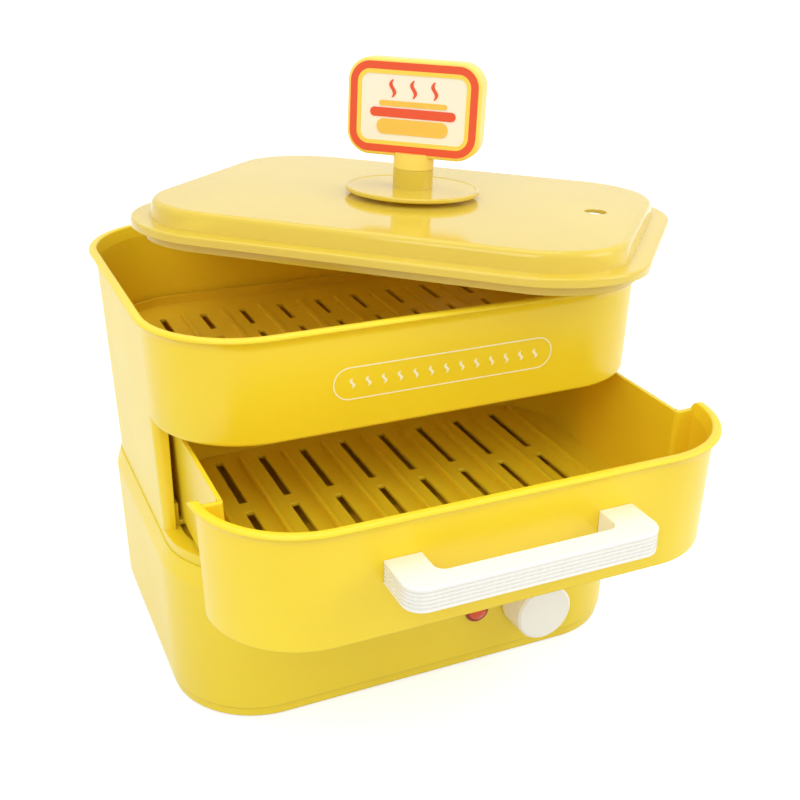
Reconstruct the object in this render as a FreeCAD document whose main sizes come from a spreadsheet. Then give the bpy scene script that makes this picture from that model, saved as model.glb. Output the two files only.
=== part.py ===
import FreeCAD, Part
import math
import operator
import os
import Sketcher
from FreeCAD import Placement, Rotation, Vector

# Counter-top hot dog steamer: a heated base, a tower with a steaming drawer and a bun
# compartment, and a lift-off lid that carries a small sign. Millimetres, +Z up, front
# towards -Y. The origin is the middle of the base's footprint on the counter.

document = FreeCAD.newDocument("HotDogSteamer")
sheet = document.addObject("Spreadsheet::Sheet", "Sizes")
OPERATIONS = {"+": operator.add, "-": operator.sub, "*": operator.mul, "/": operator.truediv}
nodes = []
rows = []


class Size:
    """A number together with the sheet formula that gives it."""

    def __init__(self, value, formula):
        self.value = float(value)
        self.formula = formula

    def __add__(self, other):
        return combined(self, "+", other)

    def __radd__(self, other):
        return combined(other, "+", self)

    def __sub__(self, other):
        return combined(self, "-", other)

    def __rsub__(self, other):
        return combined(other, "-", self)

    def __mul__(self, other):
        return combined(self, "*", other)

    def __rmul__(self, other):
        return combined(other, "*", self)

    def __truediv__(self, other):
        return combined(self, "/", other)

    def __neg__(self):
        return combined(0, "-", self)

    def __float__(self):
        return self.value


def as_size(number):
    """A plain number, such as zero, as a size."""
    return number if isinstance(number, Size) else Size(number, repr(number))


def combined(first, sign, second):
    first, second = as_size(first), as_size(second)
    value = OPERATIONS[sign](first.value, second.value)
    return Size(value, f"({first.formula} {sign} {second.formula})")


def size(alias, number, meaning):
    """Write one driving size to the sheet and hand it back by its alias."""
    rows.append(alias)
    row = len(rows)
    sheet.set(f"A{row}", meaning)
    sheet.set(f"B{row}", str(number))
    sheet.setAlias(f"B{row}", alias)
    return Size(number, f"Sizes.{alias}")


# Shared clearances
overrun = size("overrun", 1.0, "How far a cut runs past the face it opens")
bite = size("bite", 0.4, "How far an added rib or post is set into its wall")
seat_gap = size("seat_gap", 0.3, "Gap under a piece that rests and slides")
bore_gap = size("bore_gap", 0.1, "Radial gap round a fixed pin or screw")
running_gap = size("running_gap", 0.05, "Radial gap round a turning shaft")
hair_gap = size("hair_gap", 0.1, "Gap between a flange and a slightly sloping wall")

# Base
base_width = size("base_width", 235.0, "Base, left to right at the counter")
base_depth = size("base_depth", 184.4, "Base, front to back at the counter")
base_corner = size("base_corner", 43.3, "Plan radius of the base's corners")
base_flare_share = size("base_flare_share", 0.016, "Outward lean of the base's walls")
base_height = size("base_height", 80.0, "Counter to the base's flat top")
shoulder_drop = size("shoulder_drop", 8.5, "Height of the base's sloping shoulder")
shoulder_ledge = size("shoulder_ledge", 0.6, "Flat ledge left outside the tower's foot")
shoulder_round = size("shoulder_round", 5.0, "Rounding where the shoulder meets the side")
shell_wall = size("shell_wall", 2.6, "Wall of the base moulding")
band_top = size("band_top", 6.5, "Height of the inset band at the base's foot")
band_inset = size("band_inset", 1.0, "How far the band stands inside the shell")
foot_stand = size("foot_stand", 1.5, "Gap under the cover, set by the rubber feet")

# Bottom cover, its feet and screws
cover_floor = size("cover_floor", 2.4, "Thickness of the bottom cover's floor")
cover_gap = size("cover_gap", 0.2, "Gap between the band and the shell's lower edge")
spigot_height = size("spigot_height", 4.8, "Height of the cover's ring inside the shell")
spigot_wall = size("spigot_wall", 1.8, "Wall of the cover's ring")
foot_inset = size("foot_inset", 29.5, "Feet, in from the base's left and right")
foot_set_back = size("foot_set_back", 30.2, "Feet, in from the base's front and back")
foot_radius = size("foot_radius", 8.0, "Radius of a rubber foot")
foot_stem_radius = size("foot_stem_radius", 3.4, "Radius of a foot's stem")
foot_bead_radius = size("foot_bead_radius", 4.4, "Radius of the bead that holds a foot")
foot_bead_height = size("foot_bead_height", 1.6, "Height of the bead that holds a foot")
post_inset = size("post_inset", 9.5, "Cover screws, in from the base's left and right")
post_set_back = size("post_set_back", 40.2, "Cover screws, in from the base's front and back")
post_radius = size("post_radius", 4.2, "Radius of the screw posts")
boss_height = size("boss_height", 20.0, "Length of the shell's screw bosses")
boss_web = size("boss_web", 2.4, "Thickness of the web from boss to wall")
screw_radius = size("screw_radius", 1.7, "Radius of the case screws")
screw_head_radius = size("screw_head_radius", 3.4, "Radius of the case screws' heads")
screw_head_height = size("screw_head_height", 1.8, "Height of the case screws' heads")
screw_bite = size("screw_bite", 13.0, "Length of a case screw inside its boss")
vent_length = size("vent_length", 24.0, "Length of a vent slot in the cover")
vent_width = size("vent_width", 3.0, "Width of a vent slot in the cover")
vent_across = size("vent_across", 90.0, "Vent slots, first to last centre, left to right")
vent_along = size("vent_along", 40.0, "Vent slots, row to row, front to back")

# Tower
tower_inset = size("tower_inset", 2.25, "Tower's foot, in from the base's left and right")
tower_set_back = size("tower_set_back", 1.9, "Tower's foot, in from the base's front and back")
tower_corner_drop = size("tower_corner_drop", 2.8, "Tower's plan radius, less than the base's")
tower_flare_share = size("tower_flare_share", 0.029, "Outward lean of the tower's walls")
tower_wall = size("tower_wall", 2.2, "Wall of the tower moulding")
rim_rise = size("rim_rise", 111.0, "Base's top to the bun compartment's rim")
lip_height = size("lip_height", 6.0, "Height over which a rim flares out")
lip_reach = size("lip_reach", 3.1, "How far a rim flares out")
rim_relief = size("rim_relief", 1.2, "How far the inner wall opens out at the rim")
rim_round = size("rim_round", 1.5, "Rounding of a rim's outer edge")
mouth_round = size("mouth_round", 0.9, "Rounding of a rim's inner edge")
deck_rise = size("deck_rise", 61.8, "Base's top to the underside of the bun compartment")
deck_wall = size("deck_wall", 2.5, "Thickness of the bun compartment's deck")
deck_round = size("deck_round", 1.8, "Rounding under the bun compartment's front")
deck_inset = size("deck_inset", 17.25, "Steam opening in the deck, in from the tower's sides")
deck_set_back = size("deck_set_back", 18.3, "Steam opening in the deck, in from front and back")
deck_corner_drop = size("deck_corner_drop", 12.5, "Steam opening's radius, less than the tower's")
ledge_rise = size("ledge_rise", 3.0, "Base's top to the ledge inside the tower's foot")
ledge_wall = size("ledge_wall", 2.5, "Thickness of the ledge inside the tower's foot")
ledge_reach = size("ledge_reach", 5.6, "How far the ledge reaches in from the wall")
pillar_reach = size("pillar_reach", 5.1, "Front pillar, inwards from the tower's outside")
pillar_thick = size("pillar_thick", 4.0, "Front pillar, front to back")
pillar_round = size("pillar_round", 3.4, "Rounding of the front pillar's outer edge")
rail_height = size("rail_height", 2.1, "Height of a drawer rail above the ledge")
rail_reach = size("rail_reach", 14.0, "Width of a drawer rail from the wall inwards")
rail_stop = size("rail_stop", 44.3, "Drawer rail's end, in from the tower's back")
guide_height = size("guide_height", 9.0, "Height of the guide rib on a drawer rail")
guide_wall = size("guide_wall", 1.8, "Thickness of the guide rib on a drawer rail")
guide_gap = size("guide_gap", 1.4, "Side play of the drawer between the guide ribs")

# Water tank, drip tray and bun tray
tank_inset = size("tank_inset", 13.25, "Water tank, in from the tower's sides")
tank_set_back = size("tank_set_back", 14.3, "Water tank, in from the tower's front and back")
tank_corner_drop = size("tank_corner_drop", 8.5, "Water tank's radius, less than the tower's")
tank_clear = size("tank_clear", 1.5, "Timer's top to the tank's underside")
tank_wall = size("tank_wall", 1.6, "Wall of the water tank")
tank_flange = size("tank_flange", 1.4, "Thickness of the tank's flange")
tray_gap = size("tray_gap", 0.8, "Gap round a loose tray or flange")
drip_wall = size("drip_wall", 1.2, "Wall of the drip tray")
drip_inset = size("drip_inset", 12.0, "Drip tray's well, in from the tank's sides")
drip_corner_drop = size("drip_corner_drop", 8.0, "Drip tray's radius, less than the tank's")
drip_well = size("drip_well", 8.0, "Depth of the drip tray's well")
drip_slot_length = size("drip_slot_length", 15.0, "Length of a steam slot in the drip tray")
drip_slot_width = size("drip_slot_width", 5.0, "Width of a steam slot in the drip tray")
drip_slot_offset = size("drip_slot_offset", 6.5, "Steam slots, out from the drip tray's well")
drip_slot_end = size("drip_slot_end", 22.0, "First steam slot, in from the end of the well")
bun_wall = size("bun_wall", 1.6, "Wall of the bun tray")
bun_gap = size("bun_gap", 2.0, "Gap between the bun tray and the compartment")
bun_rim = size("bun_rim", 6.0, "Height of the bun tray's upturned rim")
bun_slot_length = size("bun_slot_length", 24.0, "Length of a steam slot in the bun tray")
bun_slot_width = size("bun_slot_width", 3.4, "Width of a steam slot in the bun tray")
bun_slot_inset = size("bun_slot_inset", 29.25, "Bun tray's first slot, in from the tower's side")
bun_slot_set_back = size("bun_slot_set_back", 38.3, "Bun tray's first row, in from the tower's front")
bun_rib_height = size("bun_rib_height", 1.6, "Height of the ribs that hold the buns up")
bun_rib_width = size("bun_rib_width", 2.2, "Width of the ribs that hold the buns up")

# Drawer
drawer_out = size("drawer_out", 72.3, "How far the drawer stands open at rest")
front_clear = size("front_clear", 1.7, "Ledge to the lower edge of the drawer's front")
front_gap = size("front_gap", 0.6, "Gap between the drawer's rim and the deck")
front_wall = size("front_wall", 2.4, "Wall of the drawer's front")
return_gap = size("return_gap", 0.5, "Gap between the drawer's front and the pillars")
return_round = size("return_round", 3.9, "Rounding of the upper ends of the front's returns")
web_wall = size("web_wall", 2.4, "Web that joins the drawer's side to its front")
web_round = size("web_round", 2.4, "Rounding where the web meets the drawer's side")
drawer_stop = size("drawer_stop", 8.3, "Drawer's back when shut, in from the tower's back")
drawer_wall = size("drawer_wall", 2.0, "Wall of the drawer's tray")
drawer_corner = size("drawer_corner", 33.0, "Corner radius of the drawer's tray")
drawer_flare_share = size("drawer_flare_share", 0.036, "Outward lean of the tray's walls")
drawer_side_drop = size("drawer_side_drop", 3.4, "How far the side walls lie below the rim")
drawer_slot_length = size("drawer_slot_length", 44.0, "Length of a steam slot in the drawer")
drawer_slot_width = size("drawer_slot_width", 4.0, "Width of a steam slot in the drawer")
drawer_slot_end = size("drawer_slot_end", 9.0, "First slot, in from the drawer's end")
drawer_pitch = size("drawer_pitch", 22.0, "Pitch of the drawer's ribs and slots")
drawer_rib_height = size("drawer_rib_height", 3.0, "Height of the ribs between the rows")
drawer_rib_width = size("drawer_rib_width", 2.0, "Width of the ribs between the rows")
drawer_rib_end = size("drawer_rib_end", 10.0, "Clear floor at each end of a rib")

# Drawer handle
handle_width = size("handle_width", 112.0, "Handle, left to right")
handle_reach = size("handle_reach", 24.0, "Handle, out from the drawer's front")
handle_height = size("handle_height", 10.5, "Height of the handle's bar")
handle_rise = size("handle_rise", 24.8, "Lower edge of the drawer's front to the handle")
handle_grip = size("handle_grip", 10.0, "Handle's bar, front to back")
handle_leg = size("handle_leg", 16.0, "Width of the handle's legs")
handle_corner = size("handle_corner", 8.5, "Outer corner radius of the handle")
handle_inner_corner = size("handle_inner_corner", 4.5, "Inner corner radius of the handle")
handle_edge = size("handle_edge", 0.5, "Rounding of the handle's long edges")
groove_depth = size("groove_depth", 0.55, "Depth of the grooves round the handle")
groove_width = size("groove_width", 0.75, "Width of the grooves round the handle")
groove_span = size("groove_span", 6.8, "Grooves, first to last centre")
handle_screw_bite = size("handle_screw_bite", 12.0, "Length of a handle screw in its leg")

# Heater
plate_radius = size("plate_radius", 54.0, "Radius of the heater plate")
plate_thick = size("plate_thick", 2.6, "Thickness of the heater plate")
gasket_width = size("gasket_width", 5.5, "Width of the heater gasket")
gasket_thick = size("gasket_thick", 1.4, "Thickness of the heater gasket")
element_radius = size("element_radius", 38.0, "Radius of the element's ring")
element_tube = size("element_tube", 3.2, "Radius of the element's tube")
element_sweep = size("element_sweep", 324.0, "Degrees that the element's ring covers")
element_leg = size("element_leg", 12.0, "Length of the element's terminal legs")
element_pin = size("element_pin", 2.0, "Radius of the element's terminal legs")
stud_across = size("stud_across", 40.0, "Heater plate studs, centre to centre")
stud_radius = size("stud_radius", 2.0, "Radius of the heater plate's studs")
bracket_length = size("bracket_length", 128.0, "Length of the clamp under the heater")
bracket_width = size("bracket_width", 14.0, "Width of the clamp under the heater")
bracket_thick = size("bracket_thick", 1.6, "Thickness of the clamp under the heater")
bracket_foot = size("bracket_foot", 5.0, "Length of the clamp's upturned ends")
nut_across = size("nut_across", 7.0, "Clamp nuts, across the flats")
nut_height = size("nut_height", 3.2, "Height of the clamp nuts")
thermostat_radius = size("thermostat_radius", 8.0, "Radius of the thermostat")
thermostat_height = size("thermostat_height", 9.0, "Height of the thermostat")
sensor_offset = size("sensor_offset", 21.0, "Thermostat and fuse, from the plate's middle")
tab_width = size("tab_width", 3.2, "Width of the thermostat's tabs")
tab_length = size("tab_length", 6.0, "Length of the thermostat's tabs")
tab_thick = size("tab_thick", 0.8, "Thickness of the thermostat's tabs")
fuse_radius = size("fuse_radius", 2.2, "Radius of the thermal fuse")
fuse_length = size("fuse_length", 14.0, "Length of the thermal fuse")

# Controls on the base's front
control_height = size("control_height", 32.5, "Height of the dial and the lamp")
dial_inset = size("dial_inset", 64.0, "Dial, in from the base's right-hand side")
dial_radius = size("dial_radius", 14.6, "Radius of the dial's face")
dial_swell = size("dial_swell", 0.7, "How much wider the dial is at its back")
dial_bevel = size("dial_bevel", 1.1, "Bevel round the dial's face")
dial_length = size("dial_length", 15.2, "Dial, back to face")
dial_gap = size("dial_gap", 0.8, "Gap between the dial and the base")
shaft_radius = size("shaft_radius", 3.0, "Radius of the dial's shaft")
shaft_in_dial = size("shaft_in_dial", 12.0, "Length of the shaft inside the dial")
shaft_in_timer = size("shaft_in_timer", 8.0, "Length of the shaft inside the timer")
shaft_hole_gap = size("shaft_hole_gap", 1.2, "Gap round the shaft in the base's wall")
timer_stand = size("timer_stand", 8.2, "Base's front at the counter to the timer's face")
timer_width = size("timer_width", 40.0, "Timer, left to right")
timer_height = size("timer_height", 32.0, "Height of the timer")
timer_depth = size("timer_depth", 25.0, "Timer, front to back")
timer_ear = size("timer_ear", 8.0, "Reach of the timer's ears")
timer_ear_offset = size("timer_ear_offset", 12.0, "Timer's ears, above and below its shaft")
timer_plate = size("timer_plate", 1.6, "Thickness of the timer's ears")
timer_post_radius = size("timer_post_radius", 3.5, "Radius of the timer's posts")
timer_screw_radius = size("timer_screw_radius", 1.4, "Radius of the timer's screws")
timer_screw_bite = size("timer_screw_bite", 5.0, "Length of a timer screw in its post")
bell_radius = size("bell_radius", 14.0, "Radius of the timer's bell")
bell_depth = size("bell_depth", 7.5, "Depth of the timer's bell")
bell_wall = size("bell_wall", 1.0, "Thickness of the timer's bell")
bell_hub = size("bell_hub", 3.0, "Radius of the bell's hub")
lamp_offset = size("lamp_offset", 29.5, "Indicator, left of the dial")
bezel_radius = size("bezel_radius", 6.2, "Radius of the indicator's bezel")
bezel_thick = size("bezel_thick", 1.6, "Thickness of the bezel's flange")
barrel_radius = size("barrel_radius", 5.4, "Radius of the indicator's barrel")
barrel_wall = size("barrel_wall", 0.5, "Wall of the indicator's barrel")
barrel_length = size("barrel_length", 14.0, "Length of the indicator's barrel")
lens_depth = size("lens_depth", 5.0, "Length of the lens inside the bezel")
lens_crown = size("lens_crown", 1.9, "Rise of the lens above its bezel")
lamp_radius = size("lamp_radius", 2.6, "Radius of the indicator's lamp")
lamp_length = size("lamp_length", 6.0, "Length of the indicator's lamp")
holder_thick = size("holder_thick", 2.0, "Thickness of the lamp's holder")

# Mains entry and terminals
gland_inset = size("gland_inset", 47.5, "Mains gland, in from the base's left-hand side")
gland_height = size("gland_height", 22.0, "Height of the mains gland")
gland_bore = size("gland_bore", 3.6, "Radius of the gland's bore")
gland_barrel = size("gland_barrel", 6.0, "Radius of the gland inside the wall")
gland_flange = size("gland_flange", 8.2, "Radius of the gland's flanges")
gland_flange_thick = size("gland_flange_thick", 2.2, "Thickness of the gland's flanges")
block_length = size("block_length", 30.0, "Terminal block, left to right")
block_width = size("block_width", 14.0, "Terminal block, front to back")
block_height = size("block_height", 12.0, "Height of the terminal block")
block_pitch = size("block_pitch", 9.0, "Pitch of the terminals")
block_wire_radius = size("block_wire_radius", 1.9, "Radius of a terminal's wire hole")
block_screw_radius = size("block_screw_radius", 2.0, "Radius of a terminal's screw")
block_screw_depth = size("block_screw_depth", 3.6, "Depth of a terminal's screw")
block_offset = size("block_offset", 24.0, "Terminal block, right of the gland")
block_set_back = size("block_set_back", 32.2, "Terminal block, in from the base's back")

# Lid, in its own frame: origin in the middle of the plane of its lower edge
lid_overhang = size("lid_overhang", 2.2, "How far the seated lid reaches past the rim")
lid_corner_rise = size("lid_corner_rise", 3.0, "Lid's plan radius, more than the rim's")
lid_skirt = size("lid_skirt", 3.9, "Height of the lid's skirt")
lid_height = size("lid_height", 12.5, "Height of the lid's crown")
lid_wall = size("lid_wall", 1.6, "Wall of the lid")
lid_flange = size("lid_flange", 8.6, "Width of the lid's flat flange")
lid_slope = size("lid_slope", 1.8, "How far the crown's side leans in")
lid_edge_round = size("lid_edge_round", 1.2, "Rounding of the flange's edge")
lid_crown_round = size("lid_crown_round", 3.4, "Rounding of the crown's edge")
rib_drop = size("rib_drop", 5.0, "Depth of the lid's locating rib")
rib_wall = size("rib_wall", 1.6, "Wall of the lid's locating rib")
rib_gap = size("rib_gap", 1.0, "Play of the locating rib inside the rim")
steam_hole_radius = size("steam_hole_radius", 5.4, "Radius of the steam hole in the lid")
steam_hole_inset = size("steam_hole_inset", 32.8, "Steam hole, in from the lid's right-hand side")
steam_hole_back = size("steam_hole_back", 6.0, "Steam hole, behind the lid's middle")
lid_turn = size("lid_turn", -41.1, "Degrees that the lid lies turned at rest")
lid_pitch = size("lid_pitch", -1.73, "Degrees that the lid tips to the back at rest")
lid_roll = size("lid_roll", 2.98, "Degrees that the lid tips to the right at rest")
lid_right = size("lid_right", 31.5, "Middle of the lid at rest, right of the origin")
lid_behind = size("lid_behind", 6.9, "Middle of the lid at rest, behind the origin")
lid_touch_behind = size("lid_touch_behind", 48.6, "Where the lid's rib lies on the right rim")

# Collar and sign on the lid
collar_radius = size("collar_radius", 33.4, "Radius of the collar's disc")
collar_rise = size("collar_rise", 2.7, "Lid's crown to the underside of the disc")
collar_disc = size("collar_disc", 1.7, "Thickness of the collar's disc")
collar_bead = size("collar_bead", 1.6, "Width of the bead round the disc")
collar_bead_drop = size("collar_bead_drop", 0.5, "How far the bead hangs below the disc")
collar_socket = size("collar_socket", 10.0, "Radius of the collar's socket")
collar_top = size("collar_top", 26.0, "Top of the socket above the lid's lower edge")
stem_radius = size("stem_radius", 8.0, "Radius of the sign's stem in the socket")
sign_width = size("sign_width", 67.0, "Width of the sign")
sign_height = size("sign_height", 46.0, "Height of the sign")
sign_thick = size("sign_thick", 12.0, "Thickness of the sign")
sign_corner = size("sign_corner", 11.5, "Corner radius of the sign")
sign_low = size("sign_low", 31.8, "Sign's lower edge above the lid's lower edge")
sign_round = size("sign_round", 1.6, "Rounding of the sign's edges")
sign_border = size("sign_border", 2.2, "Border round the sign's face panel")
panel_thick = size("panel_thick", 1.4, "Thickness of the sign's face panel")
post_sink = size("post_sink", 2.0, "How far the post overlaps the sign's lower edge")
lid_screw_radius = size("lid_screw_radius", 1.8, "Radius of the lid's screw")
lid_screw_head = size("lid_screw_head", 4.4, "Radius of the lid screw's head")
lid_screw_head_height = size("lid_screw_head_height", 2.6, "Height of the lid screw's head")
lid_screw_bite = size("lid_screw_bite", 12.0, "Length of the lid's screw in the stem")
washer_radius = size("washer_radius", 7.0, "Radius of the sealing washer")
washer_thick = size("washer_thick", 1.0, "Thickness of the sealing washer")

# A rim's flare below its rounding: share of its height, and share of its reach there
LIP_SHARES = ((0, 0), (0.5, 0.17), (0.83, 0.6), (1, 1))

# Counts of repeated details
VENT_COLUMN_COUNT, VENT_ROW_COUNT = 7, 2
DRIP_SLOT_COUNT = 5
BUN_COLUMN_COUNT, BUN_ROW_COUNT = 9, 4
DRAWER_COLUMN_COUNT, DRAWER_ROW_COUNT = 8, 3
GROOVE_COUNT = 5
TERMINAL_COUNT = 3
ROUND_STEP_COUNT = 4

document.recompute()

# Helpers


def new_body(label):
    body = document.addObject("PartDesign::Body", label)
    body.Label = label
    return body


def origin_part(body, role):
    return next(item for item in body.Origin.OriginFeatures if item.Role == role)


def bind(item, path, amount):
    item.setExpression(path, as_size(amount).formula)


def new_sketch(body, name, role, height, across=0, along=0):
    """A sketch on one of the body's own planes, moved out to a height and across it."""
    sketch = body.newObject("Sketcher::SketchObject", name)
    sketch.AttachmentSupport = [(origin_part(body, role), "")]
    sketch.MapMode = "FlatFace"
    bind(sketch, "AttachmentOffset.Base.x", across)
    bind(sketch, "AttachmentOffset.Base.y", along)
    bind(sketch, "AttachmentOffset.Base.z", height)
    return sketch


def measure(sketch, constraint, amount):
    index = sketch.addConstraint(constraint)
    bind(sketch, f"Constraints[{index}]", amount)


def draw_rounded(sketch, half_width, half_depth, radius):
    """A rounded rectangle about the sketch's origin, bound to its sizes."""
    across, along, turn = (float(as_size(part)) for part in (half_width, half_depth, radius))
    first = sketch.GeometryCount
    flat, reach = across - turn, along - turn
    ends = (
        (-flat, -along, flat, -along),
        (across, -reach, across, reach),
        (flat, along, -flat, along),
        (-across, reach, -across, -reach),
    )
    for x1, y1, x2, y2 in ends:
        sketch.addGeometry(Part.LineSegment(Vector(x1, y1, 0), Vector(x2, y2, 0)), False)
    middles = ((flat, -reach), (flat, reach), (-flat, reach), (-flat, -reach))
    for quarter, (x, y) in enumerate(middles):
        circle = Part.Circle(Vector(x, y, 0), Vector(0, 0, 1), turn)
        start = (quarter - 1) * math.pi / 2
        sketch.addGeometry(Part.ArcOfCircle(circle, start, start + math.pi / 2), False)
    for side, kind in enumerate(("Horizontal", "Vertical", "Horizontal", "Vertical")):
        sketch.addConstraint(Sketcher.Constraint(kind, first + side))
    for side in range(4):
        line, arc, after = first + side, first + 4 + side, first + (side + 1) % 4
        sketch.addConstraint(Sketcher.Constraint("Tangent", line, 2, arc, 1))
        sketch.addConstraint(Sketcher.Constraint("Tangent", arc, 2, after, 1))
    for arc in (first + 5, first + 6, first + 7):
        sketch.addConstraint(Sketcher.Constraint("Equal", first + 4, arc))
    sketch.addConstraint(Sketcher.Constraint("Symmetric", first, 1, first + 2, 1, -1, 1))
    width = Sketcher.Constraint("DistanceX", first + 3, 1, first + 1, 1, 2 * across)
    depth = Sketcher.Constraint("DistanceY", first, 1, first + 2, 1, 2 * along)
    measure(sketch, width, 2 * as_size(half_width))
    measure(sketch, depth, 2 * as_size(half_depth))
    measure(sketch, Sketcher.Constraint("Radius", first + 4, turn), radius)
    return sketch


def section(body, name, shape, height, along=0):
    """A level rounded rectangle: shape holds half width, half depth and corner radius."""
    return draw_rounded(new_sketch(body, name, "XY_Plane", height, 0, along), *shape)


def polygon(body, name, role, points):
    """A closed outline whose corners are bound to their sizes."""
    sketch = new_sketch(body, name, role, 0)
    corners = [(as_size(x), as_size(y)) for x, y in points]
    count = len(corners)
    for index, (x, y) in enumerate(corners):
        after_x, after_y = corners[(index + 1) % count]
        start, end = Vector(x.value, y.value, 0), Vector(after_x.value, after_y.value, 0)
        sketch.addGeometry(Part.LineSegment(start, end), False)
    for index in range(count):
        joined = Sketcher.Constraint("Coincident", index, 2, (index + 1) % count, 1)
        sketch.addConstraint(joined)
    for index, (x, y) in enumerate(corners):
        for kind, part, axis in (("DistanceX", x, -2), ("DistanceY", y, -1)):
            if part.formula == "0":
                on_axis = Sketcher.Constraint("PointOnObject", index, 1, axis)
                sketch.addConstraint(on_axis)
            else:
                place = Sketcher.Constraint(kind, -1, 1, index, 1, part.value)
                measure(sketch, place, part)
    return sketch


def loft(body, name, sections, cut=False, smooth=False):
    kind = "SubtractiveLoft" if cut else "AdditiveLoft"
    feature = body.newObject(f"PartDesign::{kind}", name)
    feature.Profile = sections[0]
    feature.Sections = sections[1:]
    feature.Ruled = not smooth
    body.Tip = feature
    return feature


def raise_up(body, name, sketch, length, cut=False):
    """Pad or cut a sketch along its own normal."""
    feature = body.newObject("PartDesign::Pocket" if cut else "PartDesign::Pad", name)
    feature.Profile = sketch
    feature.Reversed = cut
    bind(feature, "Length", length)
    body.Tip = feature
    return feature


def turn_round(body, name, sketch):
    """Turn an outline of radius and height about the upright axis."""
    feature = body.newObject("PartDesign::Revolution", name)
    feature.Profile = sketch
    feature.ReferenceAxis = (sketch, ["V_Axis"])
    feature.Angle = 360
    body.Tip = feature
    return feature


def block(body, name, x, y, z, cut=False):
    """A box between the pairs of limits x, y and z."""
    kind = "SubtractiveBox" if cut else "AdditiveBox"
    feature = body.newObject(f"PartDesign::{kind}", name)
    for side, axis, (low, high) in zip(("Length", "Width", "Height"), "xyz", (x, y, z)):
        bind(feature, side, high - as_size(low))
        bind(feature, f"Placement.Base.{axis}", low)
    body.Tip = feature
    return feature


DIRECTIONS = {
    "up": Rotation(),
    "front": Rotation(Vector(1, 0, 0), 90),
    "back": Rotation(Vector(1, 0, 0), -90),
    "right": Rotation(Vector(0, 1, 0), 90),
}


def set_place(item, x, y, z, direction="up"):
    item.Placement = Placement(Vector(), DIRECTIONS[direction])
    for axis, amount in zip("xyz", (x, y, z)):
        bind(item, f"Placement.Base.{axis}", amount)


def round_bar(body, name, radius, length, x, y, z, direction="up", cut=False):
    kind = "SubtractiveCylinder" if cut else "AdditiveCylinder"
    feature = body.newObject(f"PartDesign::{kind}", name)
    bind(feature, "Radius", radius)
    bind(feature, "Height", length)
    set_place(feature, x, y, z, direction)
    body.Tip = feature
    return feature


def grid(body, name, feature, across, columns, along=None, rows_count=1):
    """Repeat a feature along X and, where it has rows, along Y."""
    pattern = body.newObject("PartDesign::LinearPattern", name)
    pattern.Originals = [feature]
    pattern.Direction = (origin_part(body, "X_Axis"), [""])
    pattern.Occurrences = columns
    bind(pattern, "Length", across)
    if rows_count > 1:
        pattern.Direction2 = (origin_part(body, "Y_Axis"), [""])
        pattern.Occurrences2 = rows_count
        bind(pattern, "Length2", along)
    body.Tip = pattern
    return pattern


def rounded_edges(body, name, radius, wanted):
    """Round the tip's edges that a test picks out."""
    document.recompute()
    base = body.Tip
    edges = [f"Edge{i + 1}" for i, edge in enumerate(base.Shape.Edges) if wanted(edge.BoundBox)]
    feature = body.newObject("PartDesign::Fillet", name)
    feature.Base = (base, edges)
    bind(feature, "Radius", radius)
    body.Tip = feature
    return feature


def same(first, second):
    """Whether two lengths agree closely enough to name one edge."""
    return abs(float(first) - float(second)) < float(bite) / 4


def cylinder(name, radius, height, x, y, z, direction="up"):
    item = document.addObject("Part::Cylinder", name)
    bind(item, "Radius", radius)
    bind(item, "Height", height)
    set_place(item, x, y, z, direction)
    return item


def cone(name, low_radius, high_radius, height, x, y, z, direction="up"):
    item = document.addObject("Part::Cone", name)
    bind(item, "Radius1", low_radius)
    bind(item, "Radius2", high_radius)
    bind(item, "Height", height)
    set_place(item, x, y, z, direction)
    return item


def box(name, x, y, z):
    item = document.addObject("Part::Box", name)
    for side, axis, (low, high) in zip(("Length", "Width", "Height"), "xyz", (x, y, z)):
        bind(item, side, high - as_size(low))
        bind(item, f"Placement.Base.{axis}", low)
    return item


def fused(name, pieces):
    item = document.addObject("Part::MultiFuse", name)
    item.Shapes = pieces
    return item


def without(name, base, tools):
    item = document.addObject("Part::Cut", name)
    item.Base = base
    item.Tool = tools[0] if len(tools) == 1 else fused(f"{name}_tools", tools)
    return item


def keep(item, label):
    """Name a finished sub-part and list it for export."""
    item.Label = label
    nodes.append(item)
    return item


# Shared outlines

base_half = (base_width / 2, base_depth / 2, base_corner)
tower_half = (
    base_half[0] - tower_inset, base_half[1] - tower_set_back, base_corner - tower_corner_drop,
)
tower_width, tower_depth, tower_corner = 2 * tower_half[0], 2 * tower_half[1], tower_half[2]
tank_half = (
    tower_half[0] - tank_inset, tower_half[1] - tank_set_back, tower_corner - tank_corner_drop,
)
drip_half = (
    tank_half[0] - drip_inset, tank_half[1] - drip_inset, tank_half[2] - drip_corner_drop,
)
deck_open_half = (
    tower_half[0] - deck_inset, tower_half[1] - deck_set_back, tower_corner - deck_corner_drop,
)


def outline_at(foot, foot_height, flare, height, inset=0):
    """The flaring plan of the base or the tower at a height, less an inset."""
    growth = (height - foot_height) * flare - inset
    return tuple(part + growth for part in foot)


def base_plan(height, inset=0):
    return outline_at(base_half, as_size(0), base_flare_share, as_size(height), inset)


def tower_plan(height, inset=0):
    return outline_at(tower_half, base_height, tower_flare_share, as_size(height), inset)


def corners(across, along):
    """The four places that two centre distances give."""
    return [(sx * across / 2, sy * along / 2) for sx in (-1, 1) for sy in (-1, 1)]


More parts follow.
